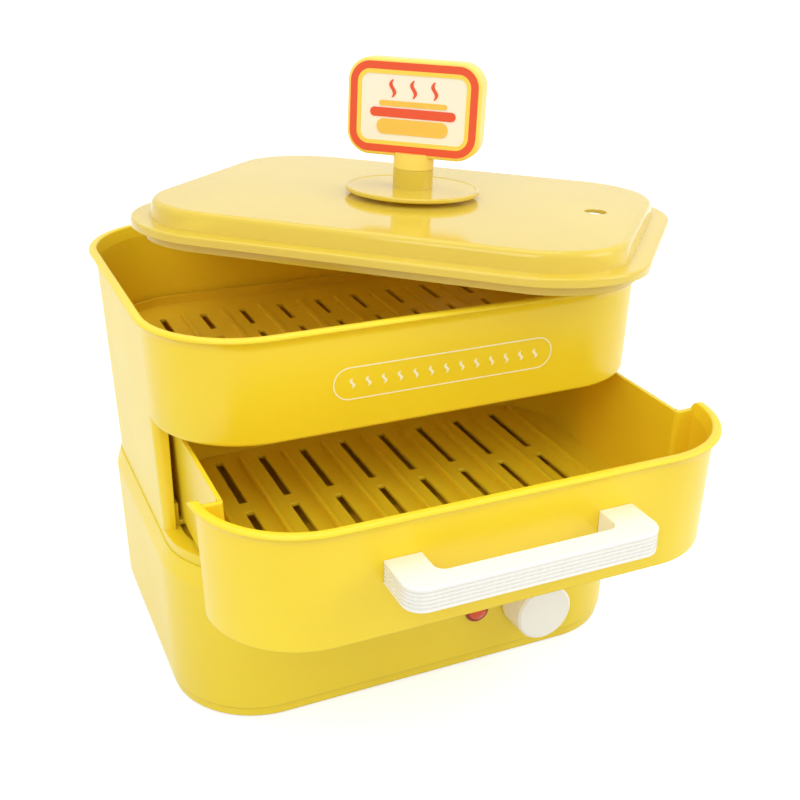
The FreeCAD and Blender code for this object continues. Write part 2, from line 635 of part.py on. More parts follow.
rim_top = base_height + rim_rise
deck_low = base_height + deck_rise
deck_top = deck_low + deck_wall
ledge_low = base_height + ledge_rise
ledge_top = ledge_low + ledge_wall
tank_low = control_height + timer_height / 2 + tank_clear
rail_top = ledge_top + rail_height
rail_back = tower_half[1] - rail_stop
pillar_front = tower_corner - tower_half[1] + bite
drawer_side = tower_width / 2 - tower_wall - rail_reach / 2
drawer_back = tower_half[1] - drawer_stop
front_low = ledge_top + front_clear
front_top = deck_low - front_gap
front_return = pillar_front - return_gap
side_top = front_top - drawer_side_drop
handle_low = front_low + handle_rise
handle_screw_across = handle_width - handle_leg
drawer_low = rail_top + seat_gap
drawer_floor = drawer_low + drawer_wall
cover_top = foot_stand + cover_floor
boss_low = band_top + spigot_height
tank_top = base_height + tank_flange
plate_low = tank_low + tank_wall + gasket_thick
bracket_top = plate_low - 2 * element_tube - seat_gap
wall_front = base_plan(control_height)[1]
timer_front = timer_stand - base_half[1]
dial_across = base_half[0] - dial_inset
lamp_across = dial_across - lamp_offset
gland_across = base_half[0] - gland_inset
block_left = gland_across - block_offset
block_back = base_half[1] - block_set_back
foot_across, foot_along = base_width - 2 * foot_inset, base_depth - 2 * foot_set_back
post_across, post_along = base_width - 2 * post_inset, base_depth - 2 * post_set_back
drip_slot_across = 2 * (drip_half[0] + drip_slot_offset)
drip_slot_along = 2 * (drip_half[1] - drip_slot_end)
bun_slot_across = tower_width - 2 * bun_slot_inset
bun_slot_along = tower_depth - 2 * bun_slot_set_back
rim_half = tuple(part + lip_reach for part in tower_plan(rim_top))
lid_half = tuple(part + lid_overhang for part in rim_half)
lid_bore = lid_screw_radius + bore_gap


def make_base_shell():
    body = new_body("base_shell")
    shoulder = base_height - shoulder_drop
    top = tuple(part + shoulder_ledge for part in tower_half)
    low = section(body, "OuterLow", base_plan(band_top), band_top)
    high = section(body, "OuterHigh", base_plan(shoulder), shoulder)
    loft(body, "Side", [low, high])
    shoulder_low = section(body, "ShoulderLow", base_plan(shoulder), shoulder)
    shoulder_top = section(body, "ShoulderTop", top, base_height)
    loft(body, "Shoulder", [shoulder_low, shoulder_top])

    def shoulder_edge(bound):
        return same(bound.ZMin, shoulder) and same(bound.ZMax, shoulder)

    rounded_edges(body, "ShoulderRound", shoulder_round, shoulder_edge)

    def top_edge(bound):
        return same(bound.ZMin, base_height) and same(bound.ZMax, base_height)

    rounded_edges(body, "TopRound", shoulder_ledge, top_edge)
    inside = tuple(part - shell_wall for part in top)
    low = section(body, "InnerLow", base_plan(band_top, shell_wall), band_top - overrun)
    high = section(body, "InnerHigh", base_plan(shoulder, shell_wall), shoulder - shell_wall)
    loft(body, "Hollow", [low, high], cut=True)
    under = section(body, "UnderShoulder", base_plan(shoulder, shell_wall), shoulder - shell_wall)
    top = section(body, "UnderTop", inside, base_height - shell_wall)
    loft(body, "HollowTop", [under, top], cut=True)
    opening = tuple(part + tray_gap for part in tank_half)
    hole = section(body, "TankOpening", opening, base_height - shell_wall - overrun)
    raise_up(body, "TankHole", hole, shell_wall + 2 * overrun, cut=True)
    add_screw_bosses(body)
    add_timer_posts(body)
    front = -wall_front - overrun
    shaft_hole = shaft_radius + shaft_hole_gap
    depth = shell_wall + 2 * overrun
    round_bar(body, "ShaftHole", shaft_hole, depth, dial_across, front, control_height, "back", True)
    lamp_hole = barrel_radius + bore_gap
    round_bar(body, "LampHole", lamp_hole, depth, lamp_across, front, control_height, "back", True)
    back = base_plan(gland_height)[1] + overrun
    round_bar(
        body, "GlandHole", gland_barrel + bore_gap, depth,
        -gland_across, back, gland_height, "front", True,
    )
    keep(body, "base_shell")


def add_screw_bosses(body):
    """Bosses for the cover screws, each tied to the side wall by a web."""
    inner = base_plan(boss_low, shell_wall)[0] + bite
    for index, (x, y) in enumerate(corners(post_across, post_along)):
        round_bar(body, f"Boss{index}", post_radius, boss_height, x, y, boss_low)
        side = (x, inner) if x.value > 0 else (-inner, x)
        middle = (y - boss_web / 2, y + boss_web / 2)
        block(body, f"BossWeb{index}", side, middle, (boss_low, boss_low + boss_height))
    for index, (x, y) in enumerate(corners(post_across, post_along)):
        depth = screw_bite + 2 * overrun
        hole = screw_radius + bore_gap
        round_bar(body, f"Pilot{index}", hole, depth, x, y, boss_low - overrun, cut=True)


def add_timer_posts(body):
    """Two posts behind the front wall that carry the timer."""
    start = shell_wall / 2 - wall_front
    reach = timer_front - start
    for index, (x, z) in enumerate(timer_ears()):
        name = f"TimerPost{index}"
        round_bar(body, name, timer_post_radius, reach, x, start, z, "back")
        hole = timer_screw_radius + bore_gap
        depth = timer_screw_bite + overrun
        y = timer_front - timer_screw_bite
        round_bar(body, f"TimerPilot{index}", hole, depth, x, y, z, "back", True)


def timer_ears():
    """The timer's two fixings: one up on its left, one down on its right."""
    reach = (timer_width + timer_ear) / 2
    left = (dial_across - reach, control_height + timer_ear_offset)
    right = (dial_across + reach, control_height - timer_ear_offset)
    return (left, right)


def make_bottom_cover():
    body = new_body("bottom_cover")
    band = tuple(part - band_inset for part in base_half)
    rise = band_top - cover_gap
    raise_up(body, "Band", section(body, "BandPlan", band, foot_stand), rise - foot_stand)
    ring = base_plan(band_top, shell_wall + seat_gap)
    raise_up(body, "Spigot", section(body, "SpigotPlan", ring, rise), boss_low - rise - hair_gap)
    inside = tuple(part - spigot_wall for part in ring)
    hollow = section(body, "InsidePlan", inside, cover_top)
    raise_up(body, "Inside", hollow, boss_low, cut=True)
    for index, (x, y) in enumerate(corners(post_across, post_along)):
        length = boss_low - hair_gap - foot_stand
        round_bar(body, f"Post{index}", post_radius, length, x, y, foot_stand)
        hole = screw_radius + bore_gap
        round_bar(body, f"PostHole{index}", hole, boss_low, x, y, 0, cut=True)
        sink = body.newObject("PartDesign::SubtractiveCone", f"Sink{index}")
        bind(sink, "Radius1", screw_head_radius + bore_gap)
        bind(sink, "Radius2", screw_radius + bore_gap)
        bind(sink, "Height", screw_head_height)
        set_place(sink, x, y, foot_stand)
    stem_hole = foot_stem_radius + bore_gap
    for index, (x, y) in enumerate(corners(foot_across, foot_along)):
        round_bar(body, f"FootHole{index}", stem_hole, cover_top + overrun, x, y, 0, cut=True)
    left, front = -vent_across / 2, -vent_along / 2
    slot = block(
        body, "Vent",
        (left - vent_width / 2, left + vent_width / 2),
        (front - vent_length / 2, front + vent_length / 2),
        (0, cover_top + overrun), cut=True,
    )
    grid(body, "Vents", slot, vent_across, VENT_COLUMN_COUNT, vent_along, VENT_ROW_COUNT)
    keep(body, "bottom_cover")


def make_feet():
    pieces = []
    for index, (x, y) in enumerate(corners(foot_across, foot_along)):
        pieces.append(cylinder(f"FootPad{index}", foot_radius, foot_stand, x, y, 0))
        pieces.append(cylinder(f"FootStem{index}", foot_stem_radius, cover_top, x, y, 0))
        bead = cylinder(f"FootBead{index}", foot_bead_radius, foot_bead_height, x, y, cover_top)
        pieces.append(bead)
    keep(fused("rubber_feet", pieces), "rubber_feet")


def make_cover_screws():
    pieces = []
    for index, (x, y) in enumerate(corners(post_across, post_along)):
        head = cone(
            f"CoverHead{index}", screw_head_radius, screw_radius, screw_head_height,
            x, y, foot_stand,
        )
        length = boss_low + screw_bite - foot_stand
        shank = cylinder(f"CoverShank{index}", screw_radius, length, x, y, foot_stand)
        pieces += [head, shank]
    keep(fused("cover_screws", pieces), "cover_screws")


def make_water_tank():
    body = new_body("water_tank")
    inner = tuple(part - tank_wall for part in tank_half)
    flange = tower_plan(base_height, tower_wall + tray_gap)
    depth = tank_top - tank_low
    raise_up(body, "Pan", section(body, "PanPlan", tank_half, tank_low), depth)
    raise_up(body, "Flange", section(body, "FlangePlan", flange, base_height), tank_flange)
    floor = tank_low + tank_wall
    raise_up(body, "Water", section(body, "WaterPlan", inner, floor), depth, cut=True)
    hole = plate_radius - gasket_width
    round_bar(body, "PlateHole", hole, 2 * tank_wall + overrun, 0, 0, tank_low - overrun, cut=True)
    keep(body, "water_tank")


def make_heater():
    seat = tank_low + tank_wall
    ring = cylinder("GasketOuter", plate_radius, gasket_thick, 0, 0, seat)
    bore = cylinder("GasketBore", plate_radius - gasket_width, gasket_thick * 3, 0, 0, tank_low)
    keep(without("heater_gasket", ring, [bore]), "heater_gasket")
    plate = [cylinder("PlateDisc", plate_radius, plate_thick, 0, 0, plate_low)]
    length = plate_low - bracket_top + bracket_thick + nut_height + overrun
    for index, side in enumerate((-1, 1)):
        x = side * stud_across / 2
        stud = cylinder(f"Stud{index}", stud_radius, length + bite, x, 0, plate_low - length)
        plate.append(stud)
    keep(fused("heater_plate", plate), "heater_plate")
    make_element()
    make_bracket()
    make_sensors()


def make_element():
    """A sheathed ring under the plate, open at the back, with two terminal legs."""
    height = plate_low - element_tube - running_gap
    ring = document.addObject("Part::Torus", "ElementRing")
    bind(ring, "Radius1", element_radius)
    bind(ring, "Radius2", element_tube)
    bind(ring, "Angle3", element_sweep)
    start = 90 + (360 - element_sweep.value) / 2
    ring.Placement = Placement(Vector(), Rotation(Vector(0, 0, 1), start))
    bind(ring, "Placement.Base.z", height)
    pieces = [ring]
    for index, angle in enumerate((start, start + element_sweep.value)):
        x = element_radius * math.cos(math.radians(angle))
        y = element_radius * math.sin(math.radians(angle))
        end = document.addObject("Part::Sphere", f"ElementEnd{index}")
        bind(end, "Radius", element_tube)
        set_place(end, x, y, height)
        leg = cylinder(f"ElementLeg{index}", element_pin, element_leg, x, y, height - element_leg)
        pieces += [end, leg]
    keep(fused("heating_element", pieces), "heating_element")


def make_bracket():
    half = bracket_length / 2
    wide = (-bracket_width / 2, bracket_width / 2)
    low = bracket_top - bracket_thick
    pieces = [box("BracketBar", (-half, half), wide, (low, bracket_top))]
    pieces.append(box("BracketLeft", (-half, bracket_foot - half), wide, (low, tank_low)))
    pieces.append(box("BracketRight", (half - bracket_foot, half), wide, (low, tank_low)))
    holes = []
    nuts = []
    nut_radius = nut_across / math.sqrt(3)
    for index, side in enumerate((-1, 1)):
        x = side * stud_across / 2
        hole = cylinder(f"BracketHole{index}", stud_radius + bore_gap, half, x, 0, low - half / 2)
        holes.append(hole)
        nut = document.addObject("Part::Prism", f"Nut{index}")
        nut.Polygon = 6
        bind(nut, "Circumradius", nut_radius)
        bind(nut, "Height", nut_height)
        set_place(nut, x, 0, low - nut_height)
        bore = cylinder(f"NutBore{index}", stud_radius + bore_gap, half, x, 0, low - half / 2)
        nuts.append(without(f"NutBlank{index}", nut, [bore]))
    bracket = without("heater_bracket", fused("BracketBlank", pieces), holes)
    keep(bracket, "heater_bracket")
    keep(fused("bracket_nuts", nuts), "bracket_nuts")


def make_sensors():
    """The thermostat and the thermal fuse under the heater plate."""
    low = plate_low - thermostat_height
    pieces = [cylinder("ThermostatCan", thermostat_radius, thermostat_height, 0, sensor_offset, low)]
    for index, side in enumerate((-1, 1)):
        x = side * thermostat_radius / 2
        wide = (x - tab_width / 2, x + tab_width / 2)
        thick = (sensor_offset - tab_thick / 2, sensor_offset + tab_thick / 2)
        pieces.append(box(f"ThermostatTab{index}", wide, thick, (low - tab_length, low + bite)))
    keep(fused("thermostat", pieces), "thermostat")
    height = plate_low - fuse_radius - running_gap
    y = -sensor_offset
    barrel = cylinder("FuseBarrel", fuse_radius, fuse_length, -fuse_length / 2, y, height, "right")
    lead = cylinder("FuseLead", fuse_radius / 4, 2 * fuse_length, -fuse_length, y, height, "right")
    keep(fused("thermal_fuse", [barrel, lead]), "thermal_fuse")


def make_timer():
    half_width, half_height = timer_width / 2, timer_height / 2
    upright = (control_height - half_height, control_height + half_height)
    case = box(
        "TimerBlank", (dial_across - half_width, dial_across + half_width),
        (timer_front, timer_front + timer_depth), upright,
    )
    cuts = [cylinder(
        "TimerBush", shaft_radius + running_gap, shaft_in_timer + 2 * overrun,
        dial_across, timer_front - overrun, control_height, "back",
    )]
    solids = [case]
    screws = []
    for index, (x, z) in enumerate(timer_ears()):
        half = timer_ear / 2
        solids.append(box(
            f"Ear{index}", (x - half - bite, x + half + bite),
            (timer_front, timer_front + timer_plate), (z - half, z + half),
        ))
        cuts.append(cylinder(
            f"EarHole{index}", timer_screw_radius + bore_gap, timer_plate + 2 * overrun,
            x, timer_front - overrun, z, "back",
        ))
        start = timer_front - timer_screw_bite
        shank = cylinder(
            f"TimerShank{index}", timer_screw_radius, timer_screw_bite + timer_plate + bite,
            x, start, z, "back",
        )
        head = cylinder(
            f"TimerHead{index}", 2 * timer_screw_radius, timer_screw_radius,
            x, timer_front + timer_plate, z, "back",
        )
        screws += [shank, head]
    keep(without("timer_case", fused("TimerSolid", solids), cuts), "timer_case")
    keep(fused("timer_screws", screws), "timer_screws")
    bell = new_body("timer_bell")
    half = bell_radius / 2
    profile = polygon(bell, "BellProfile", "XZ_Plane", [
        (0, 0), (bell_hub, 0), (bell_hub, bell_depth - 2 * bell_wall),
        (half, bell_depth - 3 * bell_wall), (bell_radius - bell_wall, bell_wall),
        (bell_radius, bell_wall), (half + bell_wall, bell_depth - bell_wall),
        (bell_hub + bell_wall, bell_depth), (0, bell_depth),
    ])
    turn_round(bell, "Bell", profile)
    set_place(bell, dial_across, timer_front + timer_depth, control_height, "back")
    keep(bell, "timer_bell")


def make_dial():
    dial = new_body("dial_knob")
    bore = shaft_radius + bore_gap
    blind = shaft_in_dial + hair_gap
    profile = polygon(dial, "DialProfile", "XZ_Plane", [
        (bore, 0), (dial_radius + dial_swell, 0), (dial_radius, dial_length - dial_bevel),
        (dial_radius - dial_bevel, dial_length), (0, dial_length), (0, blind), (bore, blind),
    ])
    turn_round(dial, "Dial", profile)
    back = -wall_front - dial_gap
    set_place(dial, dial_across, back, control_height, "front")
    keep(dial, "dial_knob")
    reach = shaft_in_dial + timer_front + shaft_in_timer - back
    shaft = cylinder(
        "dial_shaft", shaft_radius, reach, dial_across,
        back - shaft_in_dial, control_height, "back",
    )
    keep(shaft, "dial_shaft")


def make_indicator():
    """Bezel, lens, lamp and holder, each turned about the indicator's own axis."""
    face = -wall_front - hair_gap
    inner = barrel_radius - barrel_wall
    inside = inner - bore_gap
    lens_back = bezel_thick - lens_depth
    crown = bezel_thick + lens_crown
    back = -barrel_length
    outlines = {
        "indicator_bezel": [
            (inner, back), (barrel_radius, back), (barrel_radius, 0), (bezel_radius, 0),
            (bezel_radius, bezel_thick / 2), (bezel_radius - barrel_wall, bezel_thick),
            (inner, bezel_thick),
        ],
        "indicator_lens": [
            (0, lens_back), (inside, lens_back), (inside, bezel_thick),
            (inside - lens_crown / 3, bezel_thick + lens_crown / 2),
            (inside - lens_crown, bezel_thick + 3 * lens_crown / 4),
            (inside / 3, crown), (0, crown),
        ],
        "indicator_lamp": [
            (0, back + holder_thick), (lamp_radius, back + holder_thick),
            (lamp_radius, back + lamp_length), (lamp_radius / 2, back + holder_thick + lamp_length),
            (0, back + holder_thick + lamp_length),
        ],
        "lamp_holder": [
            (0, back), (inside, back), (inside, back + holder_thick), (0, back + holder_thick),
        ],
    }
    for label, outline in outlines.items():
        body = new_body(label)
        turn_round(body, "Turned", polygon(body, "Profile", "XZ_Plane", outline))
        set_place(body, lamp_across, face, control_height, "front")
        keep(body, label)


def make_gland():
    body = new_body("cord_gland")
    wall = shell_wall + 2 * seat_gap
    profile = polygon(body, "GlandProfile", "XZ_Plane", [
        (gland_bore, -gland_flange_thick), (gland_flange, -gland_flange_thick),
        (gland_flange, 0), (gland_barrel, 0), (gland_barrel, wall),
        (gland_flange, wall), (gland_flange - gland_flange_thick / 2, wall + gland_flange_thick),
        (gland_bore, wall + gland_flange_thick),
    ])
    turn_round(body, "Gland", profile)
    inner_face = base_plan(gland_height, shell_wall)[1] - seat_gap
    set_place(body, -gland_across, inner_face, gland_height, "back")
    keep(body, "cord_gland")


def make_terminals():
    x = (-block_left - block_length / 2, block_length / 2 - block_left)
    y = (block_back - block_width / 2, block_back + block_width / 2)
    blank = box("TerminalBlank", x, y, (cover_top, cover_top + block_height))
    cuts = []
    screws = []
    top = cover_top + block_height
    for index in range(TERMINAL_COUNT):
        centre = (index - (TERMINAL_COUNT - 1) / 2) * block_pitch - block_left
        cuts.append(cylinder(
            f"WireHole{index}", block_wire_radius, block_width + 2 * overrun,
            centre, y[0] - overrun, cover_top + block_height / 3, "back",
        ))
        cuts.append(cylinder(
            f"ScrewWell{index}", block_screw_radius + bore_gap, block_screw_depth + overrun,
            centre, block_back, top - block_screw_depth,
        ))
        screws.append(cylinder(
            f"TerminalScrew{index}", block_screw_radius, block_screw_depth - bite,
            centre, block_back, top - block_screw_depth,
        ))
    keep(without("terminal_block", blank, cuts), "terminal_block")
    keep(fused("terminal_screws", screws), "terminal_screws")


def make_drip_tray():
    body = new_body("drip_tray")
    flange = tower_plan(base_height, tower_wall + 2 * tray_gap)
    inside = tuple(part - drip_wall for part in drip_half)
    low = tank_top - drip_well
    raise_up(body, "Flange", section(body, "FlangePlan", flange, tank_top), drip_wall)
    raise_up(body, "Well", section(body, "WellPlan", drip_half, low), drip_well)
    floor = section(body, "FloorPlan", inside, low + drip_wall)
    raise_up(body, "Hollow", floor, drip_well + drip_wall, cut=True)
    x, y = -drip_slot_across / 2, -drip_slot_along / 2
    slot = block(
        body, "SteamSlot",
        (x - drip_slot_width / 2, x + drip_slot_width / 2),
        (y - drip_slot_length / 2, y + drip_slot_length / 2),
        (tank_top - overrun, tank_top + drip_wall + overrun), cut=True,
    )
    grid(body, "SteamSlots", slot, drip_slot_across, 2, drip_slot_along, DRIP_SLOT_COUNT)
    keep(body, "drip_tray")


def make_housing():
    """Tower and bun compartment in one moulding, open in front for the drawer."""
    body = new_body("housing")
    lip_low = rim_top - lip_height
    low = section(body, "TowerLow", tower_plan(base_height), base_height)
    high = section(body, "TowerHigh", tower_plan(lip_low), lip_low)
    loft(body, "Tower", [low, high])
    add_lip(body, lip_low, rim_top)
    low = section(body, "BunLow", tower_plan(deck_top, tower_wall), deck_top)
    high = section(body, "BunHigh", tower_plan(lip_low, tower_wall), lip_low)
    loft(body, "BunSpace", [low, high], cut=True)
    add_mouth(body, tower_wall, lip_low, rim_top)
    low = section(body, "DrawerLow", tower_plan(base_height, tower_wall), base_height - overrun)
    high = section(body, "DrawerHigh", tower_plan(deck_low, tower_wall), deck_low)
    loft(body, "DrawerSpace", [low, high], cut=True)
    side = tower_width
    front = (-tower_depth, pillar_front)
    block(body, "FrontOpening", (-side, side), front, (ledge_top, deck_low), cut=True)
    add_ledge_and_rails(body)
    hole = section(body, "DeckOpening", deck_open_half, deck_low - overrun)
    raise_up(body, "SteamOpening", hole, deck_wall + 2 * overrun, cut=True)
    def pillar_edge(bound):
        upright = bound.ZLength > float(deck_low - ledge_top) / 2
        in_front = same(bound.YMin, pillar_front) and same(bound.YMax, pillar_front)
        below = bound.ZMax < float(deck_low + bite)
        return upright and in_front and below and outside_of(bound, tower_half)

    rounded_edges(body, "PillarRound", pillar_round, pillar_edge)
    outer = tower_plan(deck_low)

    def under_front(bound):
        level = same(bound.ZMin, deck_low) and same(bound.ZMax, deck_low)
        return level and bound.YMax < float(pillar_front + bite) and outside_of(bound, outer)

    rounded_edges(body, "FrontUnderRound", deck_round, under_front)
    keep(body, "housing")


def outside_of(bound, plan):
    """Whether an edge lies on the outer outline, and not on an inner one."""
    wall = float(tower_wall) / 2
    on_side = max(abs(bound.XMin), abs(bound.XMax)) > float(plan[0]) - wall
    on_front = bound.YMin < wall - float(plan[1])
    return on_side or on_front


def add_lip(body, low, high):
    """A rim that flares out in a smooth curve and is rounded over at its outer edge."""
    start = high - rim_round
    sections = []
    for index, (up, out) in enumerate(LIP_SHARES):
        height = low + (start - low) * up
        grown = tower_plan(height, -(lip_reach * out))
        sections.append(section(body, f"Lip{index}", grown, height))
    loft(body, "Lip", sections, smooth=True)
    sections = []
    for rise, fall in quarter_round(rim_round):
        height = start + rise
        sections.append(section(body, "LipOver", tower_plan(start, fall - lip_reach), height))
    loft(body, "LipRound", sections)


def add_mouth(body, wall, low, high):
    """Open the inner wall out towards the rim and round its inner edge."""
    start = high - mouth_round
    opened = wall - rim_relief
    below = section(body, "MouthLow", tower_plan(low, wall), low)
    above = section(body, "MouthHigh", tower_plan(start, opened), start)
    loft(body, "Mouth", [below, above], cut=True)
    sections = []
    for rise, fall in quarter_round(mouth_round):
        height = start + rise
        sections.append(section(body, "MouthOver", tower_plan(start, opened - fall), height))
    loft(body, "MouthRound", sections, cut=True)


def quarter_round(radius):
    """Rise and fall-away along a quarter of a circle, from upright to level."""
    steps = []
    for step in range(ROUND_STEP_COUNT + 1):
        angle = math.pi / 2 * step / ROUND_STEP_COUNT
        steps.append((radius * math.sin(angle), radius * (1 - math.cos(angle))))
    return steps


def add_ledge_and_rails(body):
    """The ledge inside the tower's foot, the front pillars and the drawer's rails."""
    outer = tower_plan(ledge_low, tower_wall - bite)
    inner = tower_plan(ledge_low, tower_wall + ledge_reach)
    plan = section(body, "LedgeOuter", outer, ledge_low)
    draw_rounded(plan, *inner)
    raise_up(body, "Ledge", plan, ledge_wall)
    outside = tower_width / 2
    wall_face = outside - tower_wall + bite
    guide = drawer_plan(rail_top + guide_height)[0] + guide_gap
    for name, side in (("Left", -1), ("Right", 1)):
        def span(near, far):
            return (near, far) if side > 0 else (-far, -near)

        pillar = span(outside - pillar_reach, outside - bite)
        thick = (pillar_front, pillar_front + pillar_thick)
        block(body, f"Pillar{name}", pillar, thick, (ledge_top - bite, deck_low + bite))
        rail = span(outside - tower_wall - rail_reach, wall_face)
        along = (pillar_front + pillar_thick, rail_back)
        block(body, f"Rail{name}", rail, along, (ledge_top - bite, rail_top))
        rib = span(guide, guide + guide_wall)
        block(body, f"Guide{name}", rib, along, (rail_top - bite, rail_top + guide_height))


def make_bun_tray():
    body = new_body("bun_tray")
    outer = tower_plan(deck_top, tower_wall + bun_gap)
    inner = tuple(part - bun_wall for part in outer)
    raise_up(body, "Tray", section(body, "TrayPlan", outer, deck_top), bun_rim)
    hollow = section(body, "HollowPlan", inner, deck_top + bun_wall)
    raise_up(body, "Hollow", hollow, bun_rim, cut=True)
    x, y = -bun_slot_across / 2, -bun_slot_along / 2
    slot = block(
        body, "Slot",
        (x - bun_slot_width / 2, x + bun_slot_width / 2),
        (y - bun_slot_length / 2, y + bun_slot_length / 2),
        (deck_top - overrun, deck_top + bun_wall + overrun), cut=True,
    )
    grid(body, "Slots", slot, bun_slot_across, BUN_COLUMN_COUNT, bun_slot_along, BUN_ROW_COUNT)
    pitch = bun_slot_across / (BUN_COLUMN_COUNT - 1)
    half = (bun_slot_along + bun_slot_length) / 2
    start = x + pitch / 2
    rib = block(
        body, "Rib", (start - bun_rib_width / 2, start + bun_rib_width / 2), (-half, half),
        (deck_top + bun_wall / 2, deck_top + bun_wall + bun_rib_height),
    )
    grid(body, "Ribs", rib, bun_slot_across - pitch, BUN_COLUMN_COUNT - 1)
    keep(body, "bun_tray")


def drawer_plan(height, inset=0):
    """The tray's plan at a height: it would reach the tower's front if it weren't cut off."""
    half_depth = (drawer_back + tower_half[1]) / 2
    low = (drawer_side, half_depth, drawer_corner)
    return outline_at(low, drawer_low, drawer_flare_share, height, inset)


def make_drawer():
    """The sliding tray, with a front that wraps round both corners of the tower."""
    body = new_body("DrawerBody")
    lip_low = front_top - lip_height
    low = section(body, "FrontLow", tower_plan(front_low), front_low)
    high = section(body, "FrontHigh", tower_plan(lip_low), lip_low)
    loft(body, "Front", [low, high])
    add_lip(body, lip_low, front_top)
    low = section(body, "HollowLow", tower_plan(drawer_floor, front_wall), drawer_floor)
    high = section(body, "HollowHigh", tower_plan(lip_low, front_wall), lip_low)
    loft(body, "Hollow", [low, high], cut=True)
    add_mouth(body, front_wall, lip_low, front_top)
    side = tower_width
    tall = (front_low - overrun, front_top + overrun)
    block(body, "BackOff", (-side, side), (front_return, tower_depth), tall, cut=True)
    joined = body.newObject("PartDesign::Boolean", "WithTray")
    joined.setObjects([make_tray()])
    body.Tip = joined
    soften_webs(body)
    add_drawer_floor(body)
    handle_screw_holes(body)
    set_place(body, 0, -drawer_out, 0)
    keep(without("drawer_tray", body, [return_corner()]), "drawer_tray")


def return_corner():
    """What comes off above and behind the rounded upper ends of the front's returns."""
    side = tower_width
    y, z = front_return - return_round - drawer_out, front_top + bite / 2 - return_round
    above, behind = front_top + overrun, front_return - drawer_out + overrun
    corner = box("ReturnCorner", (-side, side), (y, behind), (z, above))
    rod = cylinder("ReturnRod", return_round, 3 * side, -1.5 * side, y, z, "right")
    return without("ReturnCut", corner, [rod])


def make_tray():
    """The tray behind the drawer's front, with a web on each side that reaches out to it."""
    body = new_body("TrayBody")
    middle = (drawer_back - tower_half[1]) / 2
    low = section(body, "TrayLow", drawer_plan(drawer_low), drawer_low, middle)
    high = section(body, "TrayHigh", drawer_plan(side_top), side_top, middle)
    loft(body, "Tray", [low, high])
    web_half = tower_plan(side_top, front_wall)[0] + bite
    web = (front_return - web_wall, front_return)
    block(body, "Web", (-web_half, web_half), web, (drawer_low, side_top))
    low = section(body, "SpaceLow", drawer_plan(drawer_floor, drawer_wall), drawer_floor, middle)
    over = side_top + overrun
    high = section(body, "SpaceHigh", drawer_plan(over, drawer_wall), over, middle)
    loft(body, "Space", [low, high], cut=True)
    ahead = (-tower_depth, front_return - web_wall)
    tall = (drawer_low - overrun, over)
    block(body, "FrontOff", (-tower_width, tower_width), ahead, tall, cut=True)
    return body


def soften_webs(body):
    """Round the upright corners where side and web meet."""
    tall = float(side_top - drawer_floor) / 2
    widest = float(drawer_plan(side_top)[0] + bite)

    def web_corner(bound):
        on_web = same(bound.YMin, front_return - web_wall) or same(bound.YMin, front_return)
        on_side = max(abs(bound.XMin), abs(bound.XMax)) < widest
        return bound.ZLength > tall and same(bound.YMin, bound.YMax) and on_web and on_side

    rounded_edges(body, "WebRound", web_round, web_corner)


def add_drawer_floor(body):
    """Steam slots in rows, with a low rib between each two rows."""
    front = front_wall - tower_plan(drawer_floor)[1]
    back = drawer_back - drawer_wall
    half_across = drawer_pitch * (DRAWER_COLUMN_COUNT - 1) / 2
    y = front + drawer_slot_end + drawer_slot_length / 2
    along = back - drawer_slot_end - drawer_slot_length / 2 - y
    slot = block(
        body, "Slot",
        (-half_across - drawer_slot_width / 2, drawer_slot_width / 2 - half_across),
        (y - drawer_slot_length / 2, y + drawer_slot_length / 2),
        (drawer_low - overrun, drawer_floor + overrun), cut=True,
    )
    grid(
        body, "Slots", slot, 2 * half_across, DRAWER_COLUMN_COUNT,
        along, DRAWER_ROW_COUNT,
    )
    start = -half_across - drawer_pitch / 2
    rib = block(
        body, "Rib", (start - drawer_rib_width / 2, start + drawer_rib_width / 2),
        (front + drawer_rib_end, back - drawer_rib_end),
        (drawer_floor - bite, drawer_floor + drawer_rib_height),
    )
    grid(body, "Ribs", rib, drawer_pitch * DRAWER_COLUMN_COUNT, DRAWER_COLUMN_COUNT + 1)


def handle_screw_holes(body):
    height = handle_low + handle_height / 2
    reach = front_wall + 2 * overrun
    start = -tower_plan(height)[1] - overrun
    for index, side in enumerate((-1, 1)):
        x = side * handle_screw_across / 2
        hole = screw_radius + bore_gap
        round_bar(body, f"HandleHole{index}", hole, reach, x, start, height, "back", True)


